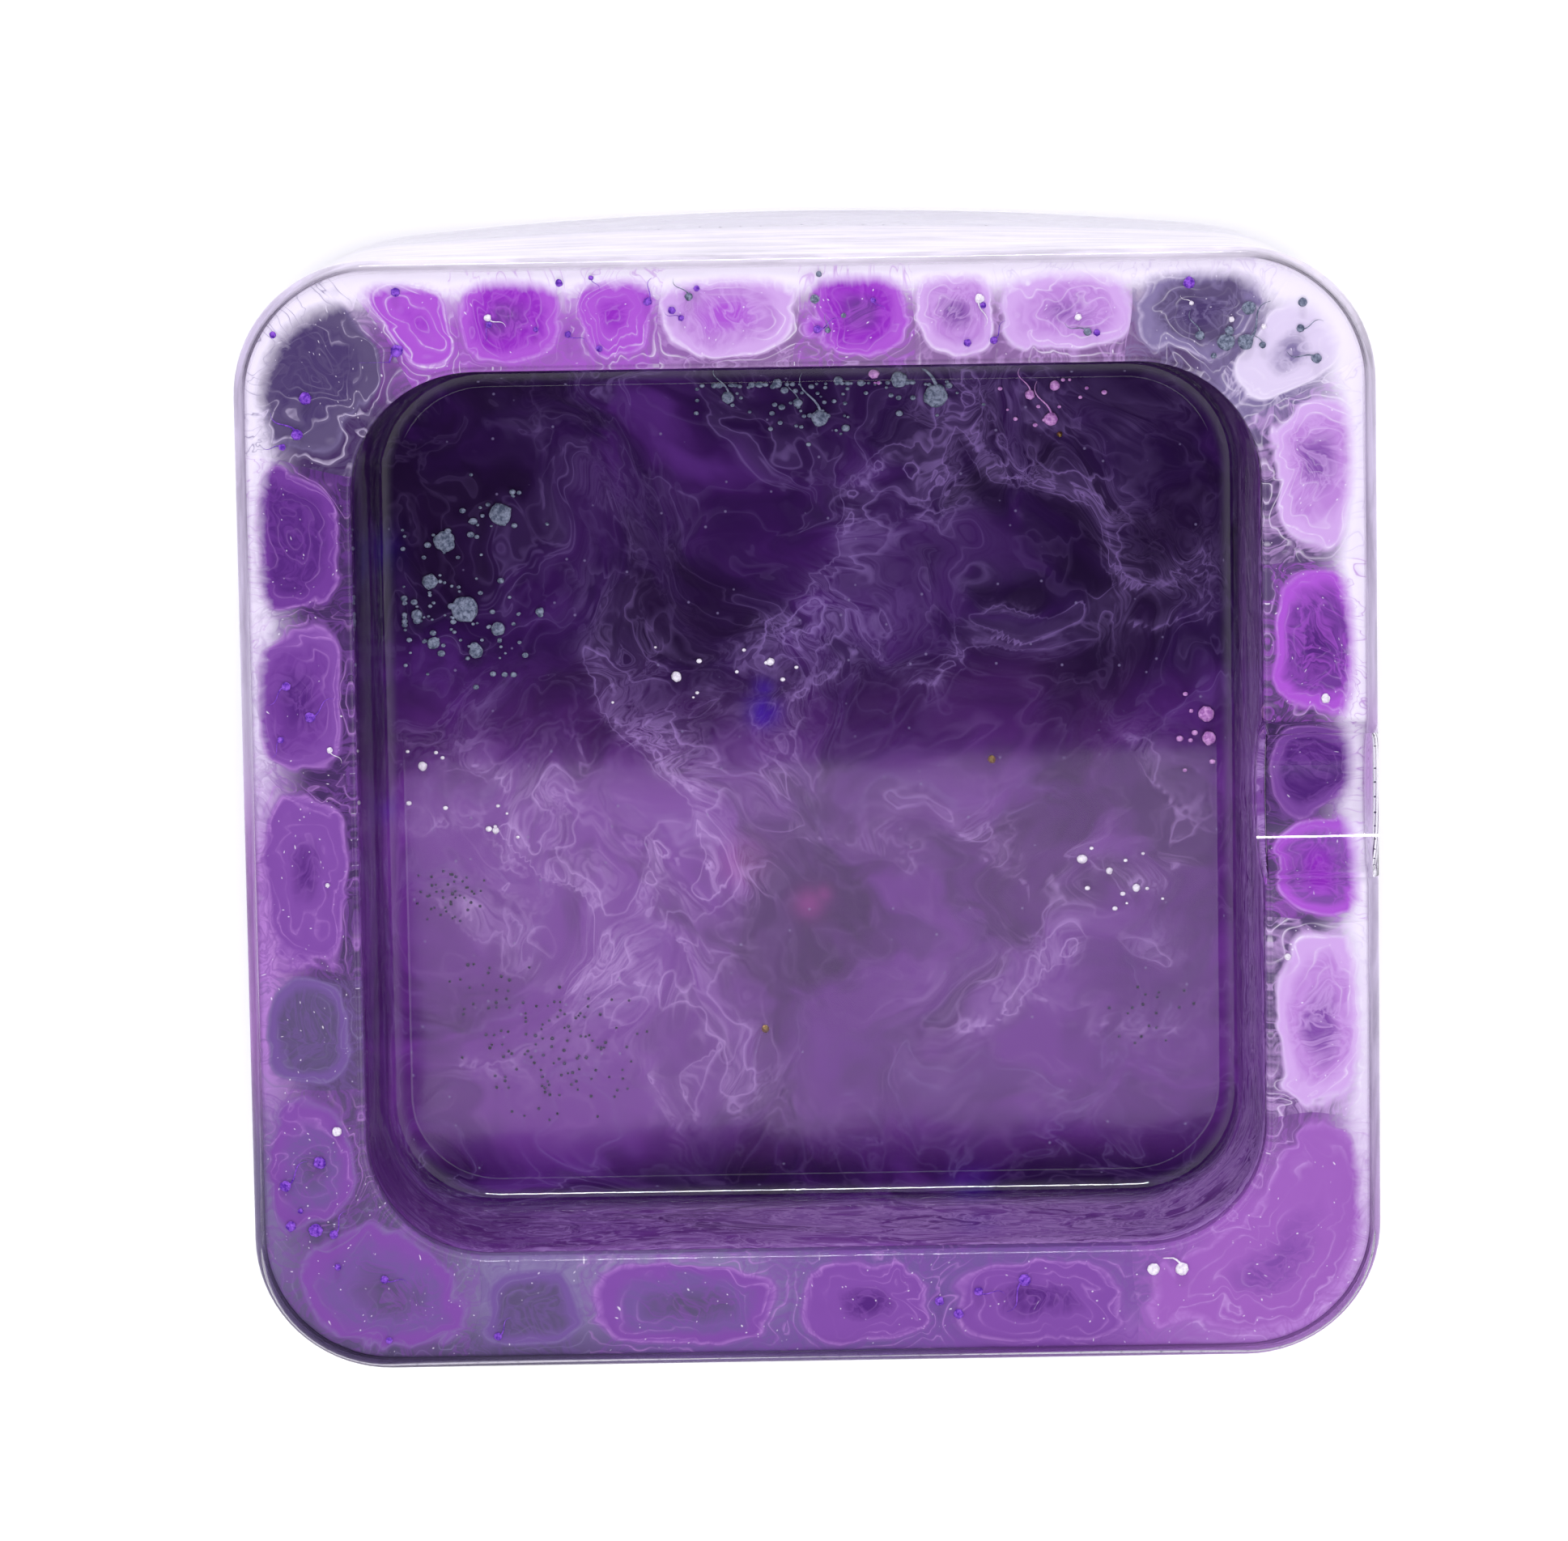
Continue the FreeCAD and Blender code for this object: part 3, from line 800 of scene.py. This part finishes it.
class Sizes(bpy.types.PropertyGroup):
    """What a user may change in the dish's ink and finish."""

    gloss_roughness: FloatProperty(
        name="Gloss Roughness", description="Roughness of the resin's moulded surface", default=0.03,
        min=0.0, max=1.0)
    grid: FloatProperty(
        name="Ink Grid", description="Spacing of the points that the ink blooms are made of, in millimetres",
        default=0.42, min=0.1)
    dome: FloatProperty(
        name="Bloom Dome", description="How far a bloom's middle stands above its edge, in millimetres",
        default=0.28)
    veil_depth: FloatProperty(
        name="Veil Depth", description="Clear resin outside the milky veil, in millimetres", default=0.55)
    floor_colour: FloatVectorProperty(
        name="Floor Colour", description="Colour of the stage", subtype="COLOR",
        default=linear("#f4f4f6")[:3], min=0.0, max=1.0)


TOOLS = []


def tool(cls):
    """Keeps an operator on the list that is registered, shown in the panel and run in order."""
    TOOLS.append(cls)
    return cls


# Each lamp's name, place and size in metres, and watts. The strip gives the glints along edges, the card
# is what the recess floor mirrors across its front half, and the softbox only fills.
LAMPS = [
    ("key_strip", (0.0, 1.312, 0.75), (0.4, 0.08), 4.8),
    ("reflector_card", (0.0035, -0.2475, 1.006), (0.143, 0.064), 0.039),
    ("overhead_softbox", (0.0, 0.0, 1.8), (1.4, 1.4), 26.0),
]

# The camera: where it aims in the rim's plane, its lean towards the back, its roll, and its distance in
# metres.
CAMERA_TARGET = (-2.35, 4.0)
CAMERA_TILT = math.radians(12.26)
CAMERA_ROLL = math.radians(-0.934)
CAMERA_DISTANCE = 1.051
CAMERA_LENS = 274.1


@tool
class DISH_OT_stage(bpy.types.Operator):
    """A plain pale floor, soft light, a narrow key light for the glints, and the camera"""

    bl_idname = "resin_dish.stage"
    bl_label = "Stage"

    def execute(self, context):
        scene = context.scene
        bm = bmesh.new()
        bmesh.ops.create_grid(bm, x_segments=1, y_segments=1, size=3.0)
        mesh = bpy.data.meshes.new("stage_floor")
        bm.to_mesh(mesh)
        bm.free()
        material, tree = fresh_material("white_paper_sweep")
        paper = add(tree, "BsdfPrincipled", {
            "Base Color": (*scene.resin_dish.floor_colour, 1.0), "Roughness": 0.9, "Specular IOR Level": 0.1,
            "Emission Color": (*scene.resin_dish.floor_colour, 1.0), "Emission Strength": 0.3})
        add(tree, "OutputMaterial", {"Surface": paper})
        mesh.materials.append(material)
        floor = bpy.data.objects.new("stage_floor", mesh)
        scene.collection.objects.link(floor)
        self.light_sky(scene)
        target = Vector((CAMERA_TARGET[0], CAMERA_TARGET[1], HEIGHT)) * MM
        for name, place, size, power in LAMPS:
            lamp = self.lamp(scene, name, place, size, power)
            lamp.visible_glossy = lamp.visible_transmission = name != "overhead_softbox"
        back = Vector((0.0, math.sin(CAMERA_TILT), math.cos(CAMERA_TILT)))
        level_up = Vector((0.0, math.cos(CAMERA_TILT), -math.sin(CAMERA_TILT)))
        right = Vector((1, 0, 0)) * math.cos(CAMERA_ROLL) + level_up * math.sin(CAMERA_ROLL)
        up = level_up * math.cos(CAMERA_ROLL) - Vector((1, 0, 0)) * math.sin(CAMERA_ROLL)
        data = bpy.data.cameras.new("camera")
        data.lens = CAMERA_LENS
        data.sensor_width = 36.0
        camera = bpy.data.objects.new("camera", data)
        scene.collection.objects.link(camera)
        turn = Matrix((right, up, back)).transposed()
        camera.matrix_world = Matrix.Translation(target + back * CAMERA_DISTANCE) @ turn.to_4x4()
        scene.camera = camera
        scene.view_settings.view_transform = "Standard"
        return {"FINISHED"}

    def lamp(self, scene, name, place, size, power):
        data = bpy.data.lights.new(name, "AREA")
        data.shape = "RECTANGLE"
        data.size, data.size_y = size
        data.energy = power
        made = bpy.data.objects.new(name, data)
        scene.collection.objects.link(made)
        away = Vector(place) - Vector((0, 0, HEIGHT * MM))
        made.matrix_world = Matrix.Translation(place) @ away.to_track_quat("Z", "Y").to_matrix().to_4x4()
        return made

    def light_sky(self, scene):
        world = bpy.data.worlds.new("studio")
        scene.world = world
        world.use_nodes = True
        tree = world.node_tree
        tree.nodes.clear()
        place = add(tree, "TexCoord")
        axes = add(tree, "SeparateXYZ", {0: place.outputs["Generated"]})
        glow = add(tree, "ValToRGB", {"Fac": axes.outputs["Z"]}, stops=[
            (0.0, 1.0), (0.5, 0.9), (0.8, 0.2), (0.92, 0.02)])
        sky = add(tree, "Background", {"Color": glow, "Strength": 1.0})
        add(tree, "OutputWorld", {"Surface": sky})


# The rod that cuts the groove: the middle of its length, in x, and its length; and how far the cut's
# edges are rounded.
ROD_AT = 48.0
ROD_LENGTH = 30.0
GROOVE_LIP = 0.12


@tool
class DISH_OT_casting(bpy.types.Operator):
    """The clear casting: bowed base, straight rim, recess, rounded edges and the rest groove"""

    bl_idname = "resin_dish.casting"
    bl_label = "Clear Casting"

    def execute(self, context):
        sizes = context.scene.resin_dish
        rings = [self.base_ring(step) for step in range(4)]
        rings += [outer_ring(z) for z in (4.0, SEAM, 12.0, 16.0)]
        rings += self.rim_rings()
        rings += [wall_ring(z) for z in (16.0, 12.0)]
        rings += self.floor_rings()
        made = piece("clear_casting", skin(rings), clear_cast_epoxy(sizes))
        self.cut_groove(made)
        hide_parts("wall_pour", "base_pour")
        return {"FINISHED"}

    def base_ring(self, step):
        angle = TURN * step / 3
        return outer_ring(BASE_ROUND * (1 - math.cos(angle)), BASE_ROUND * (1 - math.sin(angle)))

    def rim_rings(self):
        """Over the rim: its rounded outer edge, the flat face and its rounded inner edge."""
        rings = []
        for step in range(5):
            angle = TURN * step / 4
            rings.append(ring(outline(HALF - RIM_OUTER_ROUND * (1 - math.cos(angle)),
                                      OUTER_CORNER - RIM_OUTER_ROUND * (1 - math.cos(angle))),
                              HEIGHT - RIM_OUTER_ROUND * (1 - math.sin(angle))))
        for step in range(5):
            angle = TURN * step / 4
            inset = RIM_INNER_ROUND * (1 - math.sin(angle))
            rings.append(ring(outline(RECESS_HALF + inset, RECESS_CORNER + inset),
                              HEIGHT - RIM_INNER_ROUND * (1 - math.cos(angle))))
        return rings

    def floor_rings(self):
        """Down into the recess: the blend between its wall and its floor."""
        rings = []
        for step in range(7):
            angle = TURN * step / 6
            half = RECESS_FLOOR_HALF - FLOOR_BLEND * (1 - math.cos(angle))
            corner = FLOOR_CORNER - FLOOR_BLEND * (1 - math.cos(angle))
            rings.append(ring(outline(half, corner), FLOOR_Z + FLOOR_BLEND * (1 - math.sin(angle))))
        return rings

    def cut_groove(self, made):
        """Cuts the half-round groove through the rim with a rod, then rounds its edges over."""
        bm = bmesh.new()
        lie = Matrix.Translation(Vector((ROD_AT, 0, HEIGHT)) * MM) @ Matrix.Rotation(TURN, 4, "Y")
        bmesh.ops.create_cone(bm, cap_ends=True, segments=96, radius1=GROOVE_RADIUS * MM,
                              radius2=GROOVE_RADIUS * MM, depth=ROD_LENGTH * MM, matrix=lie)
        mesh = bpy.data.meshes.new("groove_rod")
        bm.to_mesh(mesh)
        bm.free()
        rod = bpy.data.objects.new("groove_rod", mesh)
        bpy.context.scene.collection.objects.link(rod)
        cut = made.modifiers.new("groove", "BOOLEAN")
        cut.operation = "DIFFERENCE"
        cut.solver = "EXACT"
        cut.object = rod
        bpy.context.view_layer.update()
        done = bpy.data.meshes.new_from_object(made.evaluated_get(bpy.context.evaluated_depsgraph_get()))
        made.modifiers.clear()
        bpy.data.objects.remove(rod)
        bpy.data.meshes.remove(mesh)
        bm = bmesh.new()
        bm.from_mesh(done)
        bpy.data.meshes.remove(done)
        self.put_in_order(bm)
        bmesh.ops.remove_doubles(bm, verts=bm.verts, dist=2e-6)
        lips = [e for e in bm.edges if len(e.link_faces) == 2 and e.calc_face_angle() > math.radians(35)
                and all(self.on_rod(v.co) for v in e.verts)]
        bmesh.ops.bevel(bm, geom=lips, offset=GROOVE_LIP * MM, segments=2, profile=0.5, affect="EDGES",
                        material=-1, clamp_overlap=True)
        bm.to_mesh(made.data)
        bm.free()
        made.data.polygons.foreach_set("use_smooth", [True] * len(made.data.polygons))
        made.data.set_sharp_from_angle(angle=math.radians(40))
        flats = made.modifiers.new("flat faces stay flat", "WEIGHTED_NORMAL")
        flats.keep_sharp = True

    def put_in_order(self, bm):
        """Orders points, edges and faces by where they are, because a boolean leaves them in no fixed
        order."""
        for elements, key in (
                (bm.verts, lambda v: v.co[:]), (bm.edges, self.corners), (bm.faces, self.corners)):
            rank = {element: place for place, element in enumerate(sorted(elements, key=key))}
            elements.sort(key=rank.get)
            elements.index_update()

    def corners(self, element):
        return sorted(v.index for v in element.verts)

    def on_rod(self, co):
        radius = math.hypot(co.y, co.z - HEIGHT * MM)
        return co.x > 0.03 and abs(radius - GROOVE_RADIUS * MM) < 3e-5


# Wisps that stand out in the floor: the points each runs through, its width and its strength, in
# millimetres.
PLUMES = [
    (((7.5, 37.0), (9.0, 31.0), (10.5, 25.0), (12.0, 31.0), (14.5, 34.0)), 1.0, 0.75),
    (((14.5, 34.0), (17.0, 29.5), (21.0, 25.5), (27.0, 20.0), (31.5, 17.5)), 1.3, 0.9),
    (((31.5, 17.5), (27.0, 15.0), (22.0, 12.5), (17.0, 13.5)), 1.2, 0.6),
    (((6.5, 29.0), (4.5, 24.0), (4.0, 19.0), (1.0, 16.0), (-2.0, 14.0)), 1.6, 0.85),
    (((6.0, 12.5), (13.0, 9.5), (21.0, 10.5), (28.0, 12.0), (35.0, 13.0)), 0.8, 0.6),
    (((-20.0, 14.0), (-17.0, 8.0), (-14.0, 3.0), (-11.0, -1.0), (-10.5, -7.0)), 1.3, 0.9),
    (((-31.5, 2.5), (-26.0, 0.0), (-21.0, -1.5), (-19.5, -4.0), (-24.0, -4.5)), 1.1, 0.75),
    (((-27.0, -3.0), (-23.0, -8.0), (-18.5, -12.0), (-18.0, -17.0), (-21.0, -20.5)), 1.4, 0.9),
    (((-8.5, -8.0), (-12.0, -12.0), (-9.0, -15.0), (-10.0, -18.5)), 1.0, 0.7),
    (((-31.0, -12.5), (-28.0, -14.5), (-25.5, -18.0)), 0.9, 0.6),
    (((-16.0, -19.0), (-12.0, -21.5), (-8.0, -25.0), (-6.0, -29.0)), 1.2, 0.7),
    (((-18.0, -21.0), (-15.0, -25.0), (-14.0, -30.0)), 1.0, 0.55),
    (((13.0, -24.0), (18.0, -21.5), (21.0, -18.0), (23.0, -14.5)), 1.3, 0.8),
    (((3.0, -6.0), (9.0, -3.0), (15.0, -6.0), (18.0, -11.0)), 1.0, 0.45),
    (((20.0, -12.0), (26.0, -8.5), (33.0, -8.0)), 0.9, 0.45),
    (((-7.0, 4.0), (-3.0, 1.0), (-1.0, 6.0), (3.0, 11.0)), 1.2, 0.55),
    (((-22.0, 30.0), (-18.0, 27.0), (-16.0, 22.0)), 1.2, 0.35),
    (((16.0, 33.5), (22.0, 33.0), (27.0, 30.0), (31.0, 31.0)), 1.0, 0.4),
    (((-26.0, -7.0), (-28.0, -11.0), (-26.0, -15.0), (-24.0, -19.0)), 0.8, 0.6),
    (((-16.0, -6.0), (-14.0, -11.0), (-16.0, -15.0), (-13.5, -18.5), (-17.5, -19.5)), 0.9, 0.75),
    (((-20.0, -21.5), (-24.0, -22.5), (-28.0, -25.0), (-32.0, -26.0)), 0.9, 0.4),
    (((-11.5, -20.5), (-9.5, -24.5), (-10.5, -29.0)), 0.8, 0.6),
    (((-4.0, -1.5), (-1.0, -4.5), (3.0, -6.5), (8.0, -9.0)), 0.8, 0.4),
    (((22.5, -14.5), (27.0, -13.5), (32.0, -16.0)), 0.8, 0.5),
    (((19.0, -20.5), (24.0, -23.0), (30.0, -22.0)), 0.8, 0.4),
    (((-33.0, -4.5), (-29.0, -3.0), (-25.5, -5.5)), 0.9, 0.5),
    (((27.0, 3.0), (31.5, -1.0), (33.0, -6.0)), 0.8, 0.5),
]

# Small stains of purer ink in the floor: x, y, radius and strength.
BLUE_STAINS = [
    (-4.2, 6.3, 1.4, 0.8), (-4.0, 8.2, 1.0, 0.5), (-38.3, 21.5, 1.8, 0.45), (-38.3, -2.0, 1.2, 0.3),
    (14.0, -38.4, 2.0, 0.35)]
PINK_STAINS = [(-0.3, -11.4, 1.3, 0.6), (1.0, -10.6, 0.8, 0.5), (-6.0, -7.5, 2.0, 0.25)]


def plume_at(x, y):
    """How strongly a wisp shows at a place on the floor: crisp along one side and smoky along the other.
    The place is stirred first, so that no wisp runs straight, and each wisp thins out here and there."""
    stir = noise.noise_vector(Vector((x, y, 0)) * 0.13) * 3.2
    stir += noise.noise_vector(Vector((x, y, 4)) * 0.4) * 1.1
    at = Vector((x + stir.x, y + stir.y))
    shown = 0.0
    for points, width, strength in PLUMES:
        for start, end in zip(points, points[1:]):
            start, end = Vector(start), Vector(end)
            run = end - start
            share = min(max((at - start).dot(run) / run.length_squared, 0.0), 1.0)
            away = (at - start - run * share).length
            crisp = smooth(-1.0, 1.0, run.cross(at - start) / run.length)
            fade = width * (0.55 + 2.1 * crisp)
            thin = 0.7 + 0.5 * noise.noise(Vector((at.x, at.y, width * 9)) * 0.2)
            shown = max(shown, strength * thin * math.exp(-away / fade))
    return shown


def stain_at(x, y, stains):
    """How strongly any of some stains shows at a place on the floor."""
    return max(strength * math.exp(-math.hypot(x - at_x, y - at_y) ** 2 / radius ** 2)
               for at_x, at_y, radius, strength in stains)


@tool
class DISH_OT_floor_ink(bpy.types.Operator):
    """The smoky sheet of ink under the recess floor, which climbs the recess walls"""

    bl_idname = "resin_dish.floor_ink"
    bl_label = "Smoky Floor Ink"

    def execute(self, context):
        under, beside, thick = 1.1, 0.3, 0.22
        rings = []
        for count in range(1, 70):
            half = 0.51 * count
            corner = FLOOR_CORNER * half / RECESS_FLOOR_HALF
            rings.append(ring(outline(half, corner), FLOOR_Z - under))
        blend = FLOOR_BLEND + 0.5
        for step in range(6):
            angle = TURN * step / 5
            inset = blend * (1 - math.sin(angle))
            half = RECESS_FLOOR_HALF + beside - inset
            rings.append(ring(outline(half, FLOOR_CORNER + beside - inset),
                              FLOOR_Z - under + blend * (1 - math.cos(angle))))
        for z in (9.0, 10.5, 12.0, 13.5, 15.0, 16.5, 17.8):
            rings.append(wall_ring(z, beside))
        for z in (17.8, 16.5, 13.5, 10.5, 8.0):
            rings.append(wall_ring(z, beside + thick))
        for half, z in ((40.2, 5.0), (38.4, 3.4), (34.0, 2.6), (20.0, 2.4), (6.0, 2.4)):
            rings.append(ring(outline(half, max(half * 0.27, 1.0)), z))
        bm = skin(rings)
        plume = bm.verts.layers.float.new("plume")
        blue = bm.verts.layers.float.new("blue")
        pink = bm.verts.layers.float.new("pink")
        paleness = bm.verts.layers.float.new("paleness")
        for vert in bm.verts:
            x, y, z = vert.co / MM
            wall_glow = 0.95 * smooth(-20.0, 55.0, x - y) * smooth(FLOOR_Z, 9.0, z)
            vert[plume] = plume_at(x, y) if z < FLOOR_Z else wall_glow
            halfway = 1 - smooth(FLOOR_Z, 9.0, z) * (1 - math.exp(-((z - 13.0) / 2.5) ** 2))
            vert[blue] = stain_at(x, y, BLUE_STAINS) * halfway
            vert[pink] = stain_at(x, y, PINK_STAINS) * halfway
            uneven = 3 * noise.noise(Vector((x, y, 0)) * 0.08)
            # front is the band, about y = 3 to y = -33, where the floor mirrors the reflector card: its
            # paleness is partly painted reflection of the card, laid over the ink's own clouds.
            front = smooth(13.0, -6.0, y + uneven) * smooth(-37.0, -29.5, y)
            aside = 0.3 * math.exp(-((x + 21) / 13) ** 2) - 0.2 * math.exp(-((x - 1) / 8) ** 2)
            floor_pale_and_painted_reflection = 0.05 + (0.85 + aside) * front
            wall_pale = 0.1 + 0.85 * smooth(-45.0, 50.0, x - y)
            vert[paleness] = floor_pale_and_painted_reflection + (wall_pale - floor_pale_and_painted_reflection) * smooth(FLOOR_Z, 9.0, z)
            roll = noise.noise(Vector((x, y, z)) * 0.09) * 0.45
            if z < FLOOR_Z:
                z += roll - 0.1
            vert.co.z = min(z, ceiling(x, y, 0.9 if z > 18.7 or x < 41.1 else 1.0)) * MM
        made = piece("smoky_floor_ink", bm, smoky_ink())
        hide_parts("floor_ink")
        return {"FINISHED"}


@tool
class DISH_OT_rim_blooms(bpy.types.Operator):
    """The ink blooms in the rim, each a body of its own, side by side all round"""

    bl_idname = "resin_dish.rim_blooms"
    bl_label = "Rim Blooms"

    def execute(self, context):
        spans = bloom_spans()
        for node in spans:
            grow_bloom(node, spans, context.scene.resin_dish)
        return {"FINISHED"}


@tool
class DISH_OT_veil(bpy.types.Operator):
    """The milky veil of thinned white ink between the blooms and the outer wall"""

    bl_idname = "resin_dish.veil"
    bl_label = "Milky Veil"

    def execute(self, context):
        gap = context.scene.resin_dish.veil_depth
        rings = [outer_ring(z, gap) for z in (1.2, 4.0, 7.4, 8.2, 10.0, 12.0, 14.0, 16.0, 18.0, 18.9)]
        rings += [outer_ring(19.3, gap + inset) for inset in (0.2, 0.4, 0.6)]
        rings += [outer_ring(19.15, gap + inset) for inset in (0.6, 0.4, 0.3)]
        rings += [outer_ring(z, gap + 0.18) for z in (18.8, 16.0, 12.0, 8.2, 7.4, 4.0, 1.2)]
        bm = skin(rings + [rings[0]], close=False)
        bmesh.ops.remove_doubles(bm, verts=bm.verts, dist=1e-6)
        face_outwards(bm)
        spans = bloom_spans()
        steps = int(WHOLE_RUN * 2)
        lane = kdtree.KDTree(steps)
        for step in range(steps):
            lane.insert(rim_point(step / 2, 1.0).to_3d(), step)
        lane.balance()
        milk = bm.verts.layers.float.new("milk")
        haze = bm.verts.layers.float_color.new("haze")
        below = bm.verts.layers.float.new("below")
        grain = bm.verts.layers.float_vector.new("grain")
        for vert in bm.verts:
            x, y, z = vert.co / MM
            vert[below] = 1 - smooth(7.3, 8.3, z)
            vert[haze] = haze_at(lane.find((x, y, 0))[1] / 2, 1.0, spans)
            inset = HALF - max(abs(x), abs(y))
            cover = (0.75 + 0.25 * milkiness(x, y)) * (0.45 + 0.55 * smooth(7.4, 9.0, z))
            if z > 19.0:
                cover *= 1 - 0.9 * smooth(gap, gap + 0.6, inset)
            vert[milk] = cover
            vert[grain] = Vector((x * 0.08, y * 0.08, z * 0.9))
            vert.co.z = min(z, ceiling(x, y, gap)) * MM
        made = piece("milky_veil", bm, milky_veil())
        return {"FINISHED"}


@tool
class DISH_OT_specks(bpy.types.Operator):
    """The clots of pigment and the gold flakes that hang in the clear resin over the ink"""

    bl_idname = "resin_dish.specks"
    bl_label = "Specks and Flakes"

    def execute(self, context):
        violet = pigment("clotted_violet_pigment", "#53259a", "#9a5edb")
        slate = pigment("clotted_slate_pigment", "#4d566a", "#8f98aa")
        white = pigment("clotted_white_pigment", "#d8d0dc", "#fdfbff")
        rose = pigment("clotted_rose_pigment", "#a468b0", "#dba6de")
        pigment_group("rim_violet_droplets", violet, 0.3, 2)
        pigment_group("rim_slate_droplets", slate, 0.3, 2)
        pigment_group("rim_white_droplets", white, 0.25, 3)
        pigment_group("floor_slate_droplets", slate, 0.28, 0, 15)
        pigment_group("floor_rose_droplets", rose, 0.28, 0, 4)
        pigment_group("floor_white_droplets", white, 0.25, 0, 5)
        pigment_group("gold_flecks", gold_foil(), 0.15, 0)
        return {"FINISHED"}


# Clusters of bubbles under the floor: x, y, spread in millimetres, and how many.
BUBBLE_CLUSTERS = [
    (-23.0, -24.5, 7.0, 110), (-32.5, -10.0, 3.0, 45), (-29.0, -19.0, 3.5, 20), (30.0, -22.0, 4.0, 18)]
GOLDEN_TURN = 2.39996


@tool
class DISH_OT_bubbles(bpy.types.Operator):
    """The fine bubbles: along the seam between the two pours, and in clusters under the recess floor"""

    bl_idname = "resin_dish.bubbles"
    bl_label = "Bubbles"

    def execute(self, context):
        bm = bmesh.new()
        seam = outer_ring(SEAM, 0.35)
        for index in range(0, len(seam), 2):
            shift = noise.noise(Vector((index * 0.37, 0.5, 0)))
            place = seam[index] + Vector((0, 0, 1.6 * shift - 0.3))
            if shift > -0.15:
                self.bead(bm, place, 0.11 + 0.12 * abs(shift))
        for x, y, spread, count in BUBBLE_CLUSTERS:
            for index in range(count):
                toss = noise.noise_vector(Vector((x * 1.7, y * 1.3, index * 0.73)))
                away = spread * math.sqrt((index + 0.5) / count) * (1 + 0.6 * toss.x)
                turn = GOLDEN_TURN * index + toss.y
                place = Vector((x + away * math.cos(turn), y + 0.8 * away * math.sin(turn), FLOOR_Z - 0.6))
                self.bead(bm, place, 0.12 + 0.1 * abs(toss.z))
        made = piece("trapped_bubbles", bm, shadowed_bubble())
        return {"FINISHED"}

    def bead(self, bm, place, radius):
        bmesh.ops.create_icosphere(
            bm, subdivisions=1, radius=radius * MM, matrix=Matrix.Translation(place * MM))


class DISH_PT_sidebar(bpy.types.Panel):
    """The dish's steps and sizes"""

    bl_label = "Resin Dish"
    bl_idname = "DISH_PT_sidebar"
    bl_space_type = "VIEW_3D"
    bl_region_type = "UI"
    bl_category = "Resin Dish"

    def draw(self, context):
        for cls in TOOLS:
            self.layout.operator(cls.bl_idname)
        for name in Sizes.__annotations__:
            self.layout.prop(context.scene.resin_dish, name)


def register():
    for cls in [Sizes, *TOOLS, DISH_PT_sidebar]:
        bpy.utils.register_class(cls)
    bpy.types.Scene.resin_dish = PointerProperty(type=Sizes)


def unregister():
    del bpy.types.Scene.resin_dish
    for cls in reversed([Sizes, *TOOLS, DISH_PT_sidebar]):
        bpy.utils.unregister_class(cls)


def main():
    register()
    for cls in TOOLS:
        group, step = cls.bl_idname.split(".")
        getattr(getattr(bpy.ops, group), step)()


if __name__ == "__main__":
    main()
